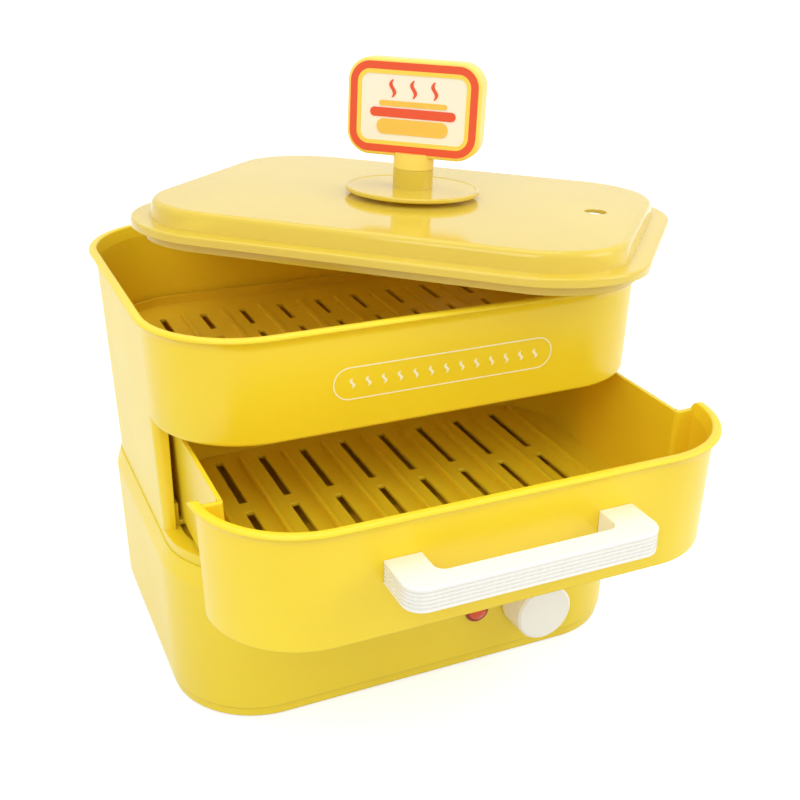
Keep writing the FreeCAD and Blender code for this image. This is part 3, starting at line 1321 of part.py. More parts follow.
def make_handle():
    """A bridge handle with fine grooves round the front of its bar."""
    body = new_body("handle")
    outer = (handle_width / 2, handle_reach, handle_corner)
    raise_up(body, "Bar", section(body, "BarPlan", outer, 0), handle_height)
    inner = (handle_width / 2 - handle_leg, handle_reach - handle_grip, handle_inner_corner)
    finger = section(body, "FingerPlan", inner, -overrun)
    raise_up(body, "Finger", finger, handle_height + 2 * overrun, cut=True)
    wide = (-handle_width, handle_width)
    tall = (-overrun, handle_height + overrun)
    block(body, "BehindPanel", wide, (0, 2 * handle_reach), tall, cut=True)

    def long_edge(bound):
        level = same(bound.ZMin, bound.ZMax)
        return level and bound.YMin < -float(handle_edge)

    rounded_edges(body, "SoftEdges", handle_edge, long_edge)
    first = (handle_height - groove_span - groove_width) / 2
    ring = tuple(part - groove_depth for part in outer)
    wide_ring = tuple(part + overrun for part in outer)
    plan = section(body, "GroovePlan", wide_ring, first)
    draw_rounded(plan, *ring)
    groove = raise_up(body, "Groove", plan, groove_width, cut=True)
    grooves = body.newObject("PartDesign::LinearPattern", "Grooves")
    grooves.Originals = [groove]
    grooves.Direction = (origin_part(body, "Z_Axis"), [""])
    grooves.Occurrences = GROOVE_COUNT
    bind(grooves, "Length", groove_span)
    body.Tip = grooves
    middle = handle_height / 2
    for index, side in enumerate((-1, 1)):
        x = side * handle_screw_across / 2
        depth = handle_screw_bite + 2 * overrun
        hole = screw_radius + bore_gap
        round_bar(body, f"Pilot{index}", hole, depth, x, overrun, middle, "front", True)
    panel = -tower_plan(handle_low + handle_height)[1] - hair_gap / 2
    set_place(body, 0, panel - drawer_out, handle_low)
    keep(body, "handle")
    make_handle_screws(panel)


def make_handle_screws(panel):
    """Screws from inside the drawer, through its front and into the handle's legs."""
    height = handle_low + handle_height / 2
    inner = front_wall - tower_plan(height - screw_head_radius)[1]
    pieces = []
    for index, side in enumerate((-1, 1)):
        x = side * handle_screw_across / 2
        end = panel - handle_screw_bite
        shank = cylinder(
            f"HandleShank{index}", screw_radius, inner - end + bite,
            x, end - drawer_out, height, "back",
        )
        head = cylinder(
            f"HandleHead{index}", screw_head_radius, screw_head_height,
            x, inner - drawer_out, height, "back",
        )
        pieces += [shank, head]
    keep(fused("handle_screws", pieces), "handle_screws")


def lid_placement():
    """The lid's rest on the rim: turned and tipped, its rib down on the right-hand rim."""
    turned = Rotation(Vector(1, 0, 0), float(lid_pitch))
    turned = turned.multiply(Rotation(Vector(0, 1, 0), float(lid_roll)))
    turned = turned.multiply(Rotation(Vector(0, 0, 1), float(lid_turn)))
    normal = turned.multVec(Vector(0, 0, 1))
    rim_side = float(rim_half[0] - rim_round)
    touch = Vector(rim_side, float(lid_touch_behind), float(rim_top + seat_gap))
    middle = Vector(float(lid_right), float(lid_behind), 0)
    height = (normal.dot(touch) + float(rib_drop) - normal.dot(middle)) / normal.z
    return Placement(Vector(middle.x, middle.y, height), turned)


def lay_on_rim(item, label):
    item.Placement = lid_placement()
    keep(item, label)


def make_lid():
    body = new_body("lid")
    edge = (lid_half[0], lid_half[1], lid_half[2] + lid_corner_rise)
    foot = tuple(part - lid_flange for part in edge)
    crown = tuple(part - lid_slope for part in foot)
    raise_up(body, "Skirt", section(body, "SkirtPlan", edge, 0), lid_skirt)

    def skirt_edge(bound):
        return same(bound.ZMin, lid_skirt) and same(bound.ZMax, lid_skirt)

    rounded_edges(body, "SkirtRound", lid_edge_round, skirt_edge)
    low = section(body, "CrownLow", foot, lid_skirt - bite)
    high = section(body, "CrownHigh", crown, lid_height)
    loft(body, "Crown", [low, high])

    def crown_edge(bound):
        return same(bound.ZMin, lid_height) and same(bound.ZMax, lid_height)

    rounded_edges(body, "CrownRound", lid_crown_round, crown_edge)
    inner_edge = tuple(part - lid_wall for part in edge)
    under = section(body, "UnderSkirt", inner_edge, -overrun)
    raise_up(body, "SkirtHollow", under, lid_skirt - lid_wall + overrun, cut=True)
    low = section(body, "UnderLow", tuple(part - lid_wall for part in foot), 0)
    inner_crown = tuple(part - 2 * lid_wall for part in crown)
    high = section(body, "UnderHigh", inner_crown, lid_height - lid_wall)
    loft(body, "CrownHollow", [low, high], cut=True)
    rib = tower_plan(rim_top, tower_wall - rim_relief + rib_gap)
    plan = section(body, "RibPlan", rib, -rib_drop)
    draw_rounded(plan, *(part - rib_wall for part in rib))
    raise_up(body, "Rib", plan, rib_drop + lid_skirt - lid_wall + bite)
    low = lid_height - 2 * lid_wall
    round_bar(
        body, "SteamHole", steam_hole_radius, 2 * lid_wall + overrun,
        lid_half[0] - steam_hole_inset, steam_hole_back, low, cut=True,
    )
    round_bar(body, "ScrewHole", lid_bore, 2 * lid_wall + overrun, 0, 0, low, cut=True)
    lay_on_rim(body, "lid")


def make_collar():
    """The disc and the socket that hold the sign's stem above the crown."""
    body = new_body("lid_collar")
    bore = stem_radius + bore_gap
    low = lid_height + hair_gap / 2
    disc = low + collar_rise
    disc_top = disc + collar_disc
    bead = collar_radius - collar_bead
    soft = collar_disc / 3
    profile = polygon(body, "CollarProfile", "XZ_Plane", [
        (bore, low), (collar_socket + soft, low), (collar_socket + soft, disc), (bead, disc),
        (bead, disc - collar_bead_drop), (collar_radius - soft, disc - collar_bead_drop),
        (collar_radius, disc), (collar_radius, disc_top - soft), (collar_radius - soft, disc_top),
        (bead, disc_top), (bead - soft, disc_top - soft / 2), (collar_socket, disc_top - soft / 2),
        (collar_socket, collar_top), (bore, collar_top),
    ])
    turn_round(body, "Collar", profile)
    lay_on_rim(body, "lid_collar")


def make_sign():
    body = new_body("sign_body")
    middle = sign_low + sign_height / 2
    back = sign_thick / 2
    half = (sign_width / 2, sign_height / 2, sign_corner)
    plate = draw_rounded(new_sketch(body, "PlatePlan", "XZ_Plane", -back, 0, middle), *half)
    raise_up(body, "Plate", plate, sign_thick)

    def plate_edge(bound):
        return same(abs(bound.YMin), back) and same(bound.YMin, bound.YMax)

    rounded_edges(body, "PlateRound", sign_round, plate_edge)
    inset = tuple(part - sign_border for part in half)
    recess = new_sketch(body, "RecessPlan", "XZ_Plane", back - panel_thick, 0, middle)
    raise_up(body, "Recess", draw_rounded(recess, *inset), panel_thick + overrun, cut=True)
    post_low = collar_top + hair_gap / 2
    round_bar(body, "Post", collar_socket, sign_low + post_sink - post_low, 0, 0, post_low)
    stem_low = lid_height + hair_gap / 2
    round_bar(body, "Stem", stem_radius, sign_low + post_sink - stem_low, 0, 0, stem_low)
    depth = lid_screw_bite + 2 * overrun
    round_bar(body, "Pilot", lid_bore, depth, 0, 0, stem_low - overrun, cut=True)
    lay_on_rim(body, "sign_body")
    panel = new_body("sign_panel")
    face = tuple(part - bore_gap for part in inset)
    plan = new_sketch(panel, "PanelPlan", "XZ_Plane", back - panel_thick, 0, middle)
    raise_up(panel, "Panel", draw_rounded(plan, *face), panel_thick)
    lay_on_rim(panel, "sign_panel")


def make_lid_fastener():
    under = lid_height - lid_wall
    low = under - washer_thick
    washer = cylinder("WasherDisc", washer_radius, washer_thick, 0, 0, low)
    bore = cylinder("WasherBore", lid_bore, 3 * washer_thick, 0, 0, low - washer_thick)
    lay_on_rim(without("lid_washer", washer, [bore]), "lid_washer")
    head_low = low - lid_screw_head_height
    head = cylinder("LidHead", lid_screw_head, lid_screw_head_height, 0, 0, head_low)
    length = washer_thick + lid_wall + lid_screw_bite
    shank = cylinder("LidShank", lid_screw_radius, length + bite, 0, 0, low - bite)
    lay_on_rim(fused("lid_screw", [head, shank]), "lid_screw")


make_base_shell()
make_bottom_cover()
make_feet()
make_cover_screws()
make_water_tank()
make_heater()
make_timer()
make_dial()
make_indicator()
make_gland()
make_terminals()
make_drip_tray()
make_housing()
make_bun_tray()
make_drawer()
make_handle()
make_lid()
make_collar()
make_sign()
make_lid_fastener()
document.recompute()

# Checks and export

for item in document.Objects:
    if "Invalid" in item.State or "Error" in item.State:
        raise RuntimeError(f"{item.Name} ({item.Label}) did not build: {item.State}")
for node in nodes:
    if node.Shape.isNull() or not node.Shape.isValid() or not node.Shape.Solids:
        raise RuntimeError(f"{node.Label} has no valid solid")

os.makedirs("parts", exist_ok=True)
for node in nodes:
    node.Shape.exportStep(f"parts/{node.Label}.step")
    box_size = node.Shape.BoundBox
    print(
        f"{node.Label:16s} solids {len(node.Shape.Solids)}  volume {node.Shape.Volume:10.1f}"
        f"  x {box_size.XMin:7.1f} {box_size.XMax:7.1f}  y {box_size.YMin:7.1f}"
        f" {box_size.YMax:7.1f}  z {box_size.ZMin:6.1f} {box_size.ZMax:6.1f}"
    )
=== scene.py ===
"""Finishes, small details, stage and camera of a counter-top hot dog steamer.

Everything is in metres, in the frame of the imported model: +Z up, front towards -Y.
"""
import math

import bmesh
import bpy
from bpy.props import FloatProperty, FloatVectorProperty, IntProperty, PointerProperty
from mathutils import Matrix, Vector


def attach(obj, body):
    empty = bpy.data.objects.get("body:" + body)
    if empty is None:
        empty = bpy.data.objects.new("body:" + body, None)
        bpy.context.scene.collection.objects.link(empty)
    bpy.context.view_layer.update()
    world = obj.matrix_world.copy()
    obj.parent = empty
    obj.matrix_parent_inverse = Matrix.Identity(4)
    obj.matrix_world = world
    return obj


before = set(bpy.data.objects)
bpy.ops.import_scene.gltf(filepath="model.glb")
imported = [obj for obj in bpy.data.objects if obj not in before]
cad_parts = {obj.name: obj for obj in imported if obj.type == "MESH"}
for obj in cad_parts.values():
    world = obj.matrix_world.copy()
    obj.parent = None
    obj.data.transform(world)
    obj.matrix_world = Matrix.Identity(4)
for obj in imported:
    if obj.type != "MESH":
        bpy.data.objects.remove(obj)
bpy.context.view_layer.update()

bl_info = {
    "name": "Hot Dog Steamer",
    "version": (1, 0, 0),
    "blender": (4, 5, 0),
    "location": "View3D > Sidebar > Steamer",
    "description": "Finishes, printed details and stage of a counter-top hot dog steamer",
    "category": "Object",
}


def setting(name, description, default, **extra):
    return FloatProperty(name=name, description=description, default=default, **extra)


def length(name, description, default):
    return setting(name, description, default, unit="LENGTH", precision=5, min=0.0)


def colour(name, description, default):
    return FloatVectorProperty(
        name=name, description=description, default=default, subtype="COLOR",
        size=3, min=0.0, max=1.0,
    )


class SteamerPlastics(bpy.types.PropertyGroup):
    """Colours and gloss of the mouldings"""

    yellow: colour("Body yellow", "Base, tower and drawer mouldings", (0.940, 0.690, 0.022))
    amber: colour("Tray amber", "Bun tray and drip tray", (0.900, 0.600, 0.022))
    lid: colour("Lid yellow", "Translucent lid and its collar", (0.945, 0.720, 0.078))
    sign: colour("Sign yellow", "Body and stem of the sign", (0.960, 0.730, 0.130))
    cream: colour("Cream", "Drawer handle and timer dial", (0.940, 0.925, 0.850))
    bezel: colour("Bezel red", "Ring round the indicator", (0.330, 0.020, 0.008))
    lens: colour("Lens red", "Indicator lens", (0.900, 0.090, 0.006))
    black: colour("Black", "Mains gland and terminal block", (0.025, 0.025, 0.027))
    rubber: colour("Rubber", "Feet and seals", (0.045, 0.043, 0.041))
    roughness: setting(
        "Body roughness", "Roughness of the yellow mouldings", 0.31,
        min=0.0, max=1.0, subtype="FACTOR",
    )
    lid_clearness: setting(
        "Lid clearness", "How much light passes through the lid", 0.28,
        min=0.0, max=1.0, subtype="FACTOR",
    )
    grain: length("Mould grain", "Height of the fine mould texture", 0.000003)
    edge: length("Edge softness", "Radius that the light sees on moulded edges", 0.0009)
    glow: setting(
        "Inner glow", "Share of light that spreads inside the yellow mouldings", 0.30,
        min=0.0, max=1.0, subtype="FACTOR",
    )
    glow_depth: length("Glow depth", "How far red light spreads in the yellow plastic", 0.005)


class SteamerMetals(bpy.types.PropertyGroup):
    """Colours of the metal pieces"""

    aluminium: colour("Aluminium", "Water tank and heater plate", (0.780, 0.780, 0.790))
    steel: colour("Plated steel", "Screws, clamp, timer and shaft", (0.600, 0.600, 0.620))
    sheath: colour("Heater sheath", "Sheathed heating element", (0.230, 0.215, 0.205))
    brass: colour("Brass", "Terminal screws", (0.750, 0.560, 0.250))


class SteamerPrint(bpy.types.PropertyGroup):
    """Printed outline and marks on the front of the bun compartment"""

    ink: colour("Ink", "Printed outline and marks", (0.980, 0.930, 0.640))
    left: setting("Left end", "Left end of the outline", -0.0485, unit="LENGTH", precision=5)
    right: setting("Right end", "Right end of the outline", 0.0564, unit="LENGTH", precision=5)
    low: length("Lower edge", "Height of the outline's lower edge", 0.1568)
    high: length("Upper edge", "Height of the outline's upper edge", 0.1714)
    stroke: length("Stroke", "Width of the printed line", 0.00055)
    marks: IntProperty(
        name="Marks", description="Steam marks inside the outline", default=13, min=1, max=40,
    )
    mark_height: length("Mark height", "Height of a steam mark", 0.0045)
    mark_swing: length("Mark swing", "Sideways swing of a steam mark", 0.0007)
    mark_stroke: length("Mark stroke", "Greatest width of a steam mark", 0.0015)
    thick: length("Ink thickness", "Height of the ink above the plastic", 0.00006)


class SteamerSign(bpy.types.PropertyGroup):
    """Face of the sign on the lid"""

    face: colour("Face", "Field of the sign", (0.955, 0.905, 0.740))
    red: colour("Orange-red", "Border, sausage and steam", (0.830, 0.085, 0.015))
    bun: colour("Bun", "Bun on the sign", (0.930, 0.560, 0.070))
    line: colour("Line", "Line inside the border", (0.955, 0.690, 0.080))
    border: length("Border", "Width of the printed border", 0.0036)
    trim: length("Trim", "Width of the yellow line inside the border", 0.0020)
    lift: length("Lift", "Thickness of the printed pieces", 0.00035)
    sausage: length("Sausage", "Half the length of the sausage", 0.0215)
    steam_pitch: length("Steam pitch", "Distance from one steam line to the next", 0.0105)


class SteamerStage(bpy.types.PropertyGroup):
    """Floor, lights and camera"""

    floor: colour("Floor", "Pale floor", (0.620, 0.625, 0.640))
    floor_glow: setting(
        "Floor glow", "Backdrop light of the floor as the camera sees it", 0.62, min=0.0, max=1.0,
    )
    room: setting("Room light", "Even light from all round", 0.84, min=0.0, max=2.0)
    key: setting("Key light", "Large lamp on the left", 12.5, min=0.0, max=100.0, unit="POWER")
    fill: setting("Fill light", "Large lamp on the right", 10.0, min=0.0, max=100.0, unit="POWER")
    top: setting("Top light", "Large lamp overhead", 9.0, min=0.0, max=100.0, unit="POWER")
    lens: setting("Lens", "Focal length in millimetres", 49.956, min=10.0, max=200.0)


# Node helpers


def join(tree, source, target):
    tree.links.new(source, target)


def feed(tree, node, name, value):
    """Set an input to a number or colour, or join a socket to it."""
    socket = node.inputs[name]
    if isinstance(value, bpy.types.NodeSocket):
        join(tree, value, socket)
    elif hasattr(value, "__len__") and len(socket.default_value) == 4 and len(value) == 3:
        socket.default_value = (*value, 1.0)
    else:
        socket.default_value = value


def add(tree, kind, **values):
    """Add a node and set its properties and its inputs, each given as a dictionary."""
    node = tree.nodes.new(kind)
    for name, value in values.get("props", {}).items():
        setattr(node, name, value)
    for name, value in values.get("inputs", {}).items():
        feed(tree, node, name, value)
    return node


def maths(tree, operation, first, second=0.5, clamp=False):
    node = add(
        tree, "ShaderNodeMath", props={"operation": operation, "use_clamp": clamp},
        inputs={0: first, 1: second},
    )
    return node.outputs[0]


def remap(tree, value, low, high, to_low, to_high):
    node = add(
        tree, "ShaderNodeMapRange",
        inputs={"Value": value, "From Min": low, "From Max": high,
                "To Min": to_low, "To Max": to_high},
    )
    return node.outputs["Result"]


def mixed(tree, share, first, second):
    """Two colours mixed. The sockets go by number, for their names repeat in this node."""
    node = add(
        tree, "ShaderNodeMix", props={"data_type": "RGBA"}, inputs={0: share, 6: first, 7: second},
    )
    return node.outputs[2]


def noise(tree, place, scale, detail=2.0, roughness=0.5):
    node = add(
        tree, "ShaderNodeTexNoise",
        inputs={"Vector": place, "Scale": scale, "Detail": detail, "Roughness": roughness},
    )
    return node.outputs["Fac"]


# Where nearly all values of a noise lie
NOISE_SPREAD = (0.3, 0.7)

# Heights of the fine texture in printed ink, in drawn metal and in the lens
INK_GRAIN = 0.000008
METAL_GRAIN = 0.000006
LENS_GRAIN = 0.00002


def shared_effect(name, inputs, outputs):
    """An empty node group with its named sockets."""
    group = bpy.data.node_groups.new(name, "ShaderNodeTree")
    for label, kind, default in inputs:
        socket = group.interface.new_socket(label, in_out="INPUT", socket_type=kind)
        if default is not None:
            socket.default_value = default
    for label, kind in outputs:
        group.interface.new_socket(label, in_out="OUTPUT", socket_type=kind)
    return group, group.nodes.new("NodeGroupInput"), group.nodes.new("NodeGroupOutput")


def moulded_effect():
    """Fine mould grain, faint flow variation and polished patches of injection-moulded plastic."""
    group, given, made = shared_effect(
        "Moulded plastic",
        (("Colour", "NodeSocketColor", (0.8, 0.8, 0.8, 1)), ("Roughness", "NodeSocketFloat", 0.3),
         ("Variation", "NodeSocketFloat", 0.05), ("Grain scale", "NodeSocketFloat", 1400.0)),
        (("Colour", "NodeSocketColor"), ("Roughness", "NodeSocketFloat"),
         ("Height", "NodeSocketFloat")),
    )
    place = add(group, "ShaderNodeTexCoord").outputs["Object"]
    flow = noise(group, place, scale=11.0, detail=3.0, roughness=0.45)
    swing = remap(group, flow, *NOISE_SPREAD, -1.0, 1.0)
    change = maths(group, "MULTIPLY", swing, given.outputs["Variation"])
    level = maths(group, "ADD", change, 1.0)
    shade = add(group, "ShaderNodeVectorMath", props={"operation": "SCALE"})
    join(group, given.outputs["Colour"], shade.inputs[0])
    join(group, level, shade.inputs["Scale"])
    join(group, shade.outputs[0], made.inputs["Colour"])
    patches = noise(group, place, scale=46.0, detail=4.0, roughness=0.6)
    drift = remap(group, patches, *NOISE_SPREAD, -0.015, 0.02)
    rough = maths(group, "ADD", given.outputs["Roughness"], drift, clamp=True)
    join(group, rough, made.inputs["Roughness"])
    grain = noise(
        group, place, scale=given.outputs["Grain scale"], detail=3.0, roughness=0.55,
    )
    ripple = noise(group, place, scale=22.0, detail=1.0, roughness=0.4)
    soft = maths(group, "MULTIPLY", ripple, 6.0)
    join(group, maths(group, "ADD", grain, soft), made.inputs["Height"])
    return group


def edge_effect():
    """Softened edges, and a mask of where hands and cleaning rub them."""
    group, given, made = shared_effect(
        "Edges",
        (("Radius", "NodeSocketFloat", 0.001), ("Wear", "NodeSocketFloat", 0.5)),
        (("Normal", "NodeSocketVector"), ("Mask", "NodeSocketFloat")),
    )
    soft = add(group, "ShaderNodeBevel", props={"samples": 6}).outputs["Normal"]
    join(group, given.outputs["Radius"], soft.node.inputs["Radius"])
    join(group, soft, made.inputs["Normal"])
    true = add(group, "ShaderNodeNewGeometry").outputs["Normal"]
    match = add(group, "ShaderNodeVectorMath", props={"operation": "DOT_PRODUCT"})
    join(group, soft, match.inputs[0])
    join(group, true, match.inputs[1])
    turned = remap(group, match.outputs["Value"], 0.97, 0.80, 0.0, 1.0)
    place = add(group, "ShaderNodeTexCoord").outputs["Object"]
    scuffs = noise(group, place, scale=160.0, detail=4.0, roughness=0.6)
    broken = remap(group, scuffs, 0.42, 0.62, 0.0, 1.0)
    rubbed = maths(group, "MULTIPLY", turned, broken)
    mask = maths(group, "MULTIPLY", rubbed, given.outputs["Wear"], clamp=True)
    join(group, mask, made.inputs["Mask"])
    return group


def brushed_effect():
    """Fine drawn or spun lines in metal, with a little tarnish."""
    group, given, made = shared_effect(
        "Brushed metal",
        (("Colour", "NodeSocketColor", (0.6, 0.6, 0.6, 1)), ("Roughness", "NodeSocketFloat", 0.3),
         ("Stretch", "NodeSocketVector", (1.0, 1.0, 0.05)), ("Tarnish", "NodeSocketFloat", 0.15)),
        (("Colour", "NodeSocketColor"), ("Roughness", "NodeSocketFloat"),
         ("Height", "NodeSocketFloat")),
    )
    place = add(group, "ShaderNodeTexCoord").outputs["Object"]
    drawn = add(group, "ShaderNodeVectorMath", props={"operation": "MULTIPLY"})
    join(group, place, drawn.inputs[0])
    join(group, given.outputs["Stretch"], drawn.inputs[1])
    lines = noise(group, drawn.outputs[0], scale=2600.0, detail=3.0, roughness=0.6)
    stains = noise(group, place, scale=90.0, detail=4.0, roughness=0.65)
    blotch = remap(group, stains, 0.45, 0.75, 0.0, 1.0)
    dulled = maths(group, "MULTIPLY", blotch, given.outputs["Tarnish"])
    dark = mixed(group, dulled, given.outputs["Colour"], (0.16, 0.13, 0.10))
    join(group, dark, made.inputs["Colour"])
    drift = remap(group, lines, *NOISE_SPREAD, -0.06, 0.10)
    rough = maths(group, "ADD", given.outputs["Roughness"], drift)
    join(group, maths(group, "ADD", rough, dulled, clamp=True), made.inputs["Roughness"])
    join(group, lines, made.inputs["Height"])
    return group


EFFECTS = {}


def effect(name):
    """The shared node group of that name, built the first time it is wanted."""
    makers = {"moulded": moulded_effect, "edges": edge_effect, "brushed": brushed_effect}
    if name not in EFFECTS:
        EFFECTS[name] = makers[name]()
    return EFFECTS[name]


def place_effect(tree, name, **values):
    node = tree.nodes.new("ShaderNodeGroup")
    node.node_tree = effect(name)
    for label, value in values.items():
        feed(tree, node, label.replace("_", " "), value)
    return node


def blank_material(name):
    material = bpy.data.materials.new(name)
    material.use_nodes = True
    tree = material.node_tree
    return material, tree, tree.nodes["Principled BSDF"]


def raised(tree, shader, height, distance, normal=None, strength=1.0):
    bump = add(
        tree, "ShaderNodeBump",
        inputs={"Height": height, "Distance": distance, "Strength": strength},
    )
    if normal is not None:
        join(tree, normal, bump.inputs["Normal"])
    join(tree, bump.outputs["Normal"], shader.inputs["Normal"])


def plastic(
    name, base, roughness, grain, edge, variation=0.04, wear=0.35, worn=None, grain_scale=1400.0,
):
    """Moulded plastic with grain, soft edges and a little handling wear, and its shader."""
    material, tree, shader = blank_material(name)
    surface = place_effect(
        tree, "moulded", Colour=base, Roughness=roughness, Variation=variation,
        Grain_scale=grain_scale,
    )
    edges = place_effect(tree, "edges", Radius=edge, Wear=wear)
    rubbed = worn or tuple(min(1.0, part * 0.92 + 0.08) for part in base)
    tint = mixed(tree, edges.outputs["Mask"], surface.outputs["Colour"], rubbed)
    join(tree, tint, shader.inputs["Base Color"])
    duller = maths(tree, "MULTIPLY", edges.outputs["Mask"], 0.18)
    rough = maths(tree, "ADD", surface.outputs["Roughness"], duller, clamp=True)
    join(tree, rough, shader.inputs["Roughness"])
    raised(tree, shader, surface.outputs["Height"], grain, edges.outputs["Normal"])
    return material, shader


def metal(name, base, roughness, stretch, tarnish, edge=0.0003):
    """Drawn or turned metal, its lines running along the axis that the stretch draws out."""
    material, tree, shader = blank_material(name)
    surface = place_effect(
        tree, "brushed", Colour=base, Roughness=roughness, Stretch=stretch, Tarnish=tarnish,
    )
    edges = place_effect(tree, "edges", Radius=edge, Wear=0.4)
    bright = tuple(min(1.0, part * 1.15) for part in base)
    tint = mixed(tree, edges.outputs["Mask"], surface.outputs["Colour"], bright)
    join(tree, tint, shader.inputs["Base Color"])
    join(tree, surface.outputs["Roughness"], shader.inputs["Roughness"])
    shader.inputs["Metallic"].default_value = 1.0
    raised(tree, shader, surface.outputs["Height"], METAL_GRAIN, edges.outputs["Normal"])
    return material


def ink(name, base, roughness=0.45):
    """Screen-printed ink: even, slightly matt, with pinholes too small to see from a step away."""
    material, tree, shader = blank_material(name)
    surface = place_effect(
        tree, "moulded", Colour=base, Roughness=roughness, Variation=0.03, Grain_scale=3200.0,
    )
    join(tree, surface.outputs["Colour"], shader.inputs["Base Color"])
    join(tree, surface.outputs["Roughness"], shader.inputs["Roughness"])
    raised(tree, shader, surface.outputs["Height"], INK_GRAIN)
    return material


def finish_nodes(names, material):
    """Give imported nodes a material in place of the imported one."""
    for name in names:
        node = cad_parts.get(name)
        if node is None:
            raise RuntimeError(f"the packed model has no node {name}")
        node.material_slots[0].material = material


# Mesh helpers


def new_piece(name, mesh, material, body):
    """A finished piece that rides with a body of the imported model."""
    piece = bpy.data.objects.new(name, mesh)
    bpy.context.scene.collection.objects.link(piece)
    mesh.materials.append(material)
    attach(piece, body)
    return piece


def mesh_from(build, name):
    """A mesh that a function fills in through bmesh."""
    work = bmesh.new()
    build(work)
    bmesh.ops.recalc_face_normals(work, faces=work.faces)
    mesh = bpy.data.meshes.new(name)
    work.to_mesh(mesh)
    work.free()
    return mesh


def ribbon(work, inner, outer, place, thick):
    """A closed raised band between two matching outlines, set out by place(x, y, height)."""
    count = len(inner)
    rings = []
    for outline, height in ((inner, 0.0), (inner, thick), (outer, thick), (outer, 0.0)):
        rings.append([work.verts.new(place(x, y, height)) for x, y in outline])
    for near, far in zip(rings, rings[1:] + rings[:1]):
        for i in range(count):
            after = (i + 1) % count
            work.faces.new((near[i], near[after], far[after], far[i]))


def slab(work, outline, place, thick):
    """A raised flat piece with the given outline."""
    low = [work.verts.new(place(x, y, 0.0)) for x, y in outline]
    high = [work.verts.new(place(x, y, thick)) for x, y in outline]
    work.faces.new(low)
    work.faces.new(high)
    count = len(outline)
    for i in range(count):
        after = (i + 1) % count
        work.faces.new((low[i], low[after], high[after], high[i]))


def rounded_outline(left, right, low, high, radius, steps=12):
    """Points round a rounded rectangle, the same number whatever its size."""
    points = []
    centres = (
        (right - radius, low + radius, -90), (right - radius, high - radius, 0),
        (left + radius, high - radius, 90), (left + radius, low + radius, 180),
    )
    for x, y, start in centres:
        for step in range(steps + 1):
            angle = math.radians(start + 90 * step / steps)
            points.append((x + radius * math.cos(angle), y + radius * math.sin(angle)))
    return points


def wave_outline(x, low, high, width, stroke, steps=16):
    """A rising steam line: an S drawn with a stroke that thins towards its ends."""
    left, right = [], []
    for step in range(steps + 1):
        share = step / steps
        y = low + (high - low) * share
        middle = x + width * math.sin(2 * math.pi * share)
        half = stroke / 2 * (0.35 + 0.65 * math.sin(math.pi * share))
        left.append((middle - half, y))
        right.append((middle + half, y))
    return left + right[::-1]


FLOOR_RADIUS = 9.0

# What the lamps point at
LAMP_TARGET = (0.0, -0.03, 0.12)

# Where the camera stands, the way to its right and the way back from what it looks at
CAMERA_PLACE = (-0.1965, -0.4911, 0.3500)
CAMERA_RIGHT = (0.9144, -0.4049, 0.0093)
CAMERA_BACK = (-0.3724, -0.8316, 0.4121)

# Millimetres, as the lens is given in
SENSOR_WIDTH = 36.0


class STEAMER_OT_stage(bpy.types.Operator):
    """Set out the floor, the lights, the white surroundings and the camera"""

    bl_idname = "steamer.stage"
    bl_label = "Stage"

    def execute(self, context):
        stage = context.scene.steamer_stage
        self.floor(stage)
        self.surroundings(context.scene, stage)
        self.lamps(context.scene, stage)
        self.camera(context.scene, stage)
        return {"FINISHED"}

    def floor(self, stage):
        def build(work):
            bmesh.ops.create_circle(work, cap_ends=True, segments=96, radius=FLOOR_RADIUS)

        floor = bpy.data.objects.new("floor", mesh_from(build, "floor"))
        bpy.context.scene.collection.objects.link(floor)
        material, tree, shader = blank_material("pale_floor")
        place = add(tree, "ShaderNodeTexCoord").outputs["Object"]
        even = remap(tree, noise(tree, place, scale=3.0), *NOISE_SPREAD, 0.985, 1.0)
        tone = mixed(tree, even, (0.0, 0.0, 0.0), tuple(stage.floor))
        join(tree, tone, shader.inputs["Base Color"])
        shader.inputs["Roughness"].default_value = 0.9
        shader.inputs["Specular IOR Level"].default_value = 0.1
        shader.inputs["Emission Color"].default_value = (1, 1, 1, 1)
        glow = maths(tree, "MULTIPLY", seen_directly(tree), stage.floor_glow)
        join(tree, glow, shader.inputs["Emission Strength"])
        floor.data.materials.append(material)

    def surroundings(self, scene, stage):
        world = bpy.data.worlds.new("white_surroundings")
        scene.world = world
        world.use_nodes = True
        tree = world.node_tree
        sky = tree.nodes["Background"]
        sky.inputs["Color"].default_value = (1, 1, 1, 1)
        extra = maths(tree, "MULTIPLY", seen_directly(tree), 1.0 - stage.room)
        join(tree, maths(tree, "ADD", extra, stage.room), sky.inputs["Strength"])

    def lamps(self, scene, stage):
        # Name, power, place and width of each
        lamps = (
            ("key_lamp", stage.key, (-1.15, -1.35, 1.55), 1.3),
            ("fill_lamp", stage.fill, (1.55, -0.95, 1.05), 1.2),
            ("top_lamp", stage.top, (0.15, 0.35, 2.1), 1.5),
        )
        for name, power, location, width in lamps:
            light = bpy.data.lights.new(name, "AREA")
            light.energy = power
            light.size = width
            lamp = bpy.data.objects.new(name, light)
            scene.collection.objects.link(lamp)
            lamp.location = location
            aim = Vector(LAMP_TARGET) - lamp.location
            lamp.rotation_euler = aim.to_track_quat("-Z", "Y").to_euler()

    def camera(self, scene, stage):
        lens = bpy.data.cameras.new("camera")
        lens.lens = stage.lens
        lens.sensor_width = SENSOR_WIDTH
        camera = bpy.data.objects.new("camera", lens)
        scene.collection.objects.link(camera)
        back = Vector(CAMERA_BACK).normalized()
        up = back.cross(Vector(CAMERA_RIGHT)).normalized()
        right = up.cross(back)
        turn = Matrix((right, up, back)).transposed().to_4x4()
        camera.matrix_world = Matrix.Translation(CAMERA_PLACE) @ turn
        scene.camera = camera
        scene.view_settings.view_transform = "Standard"


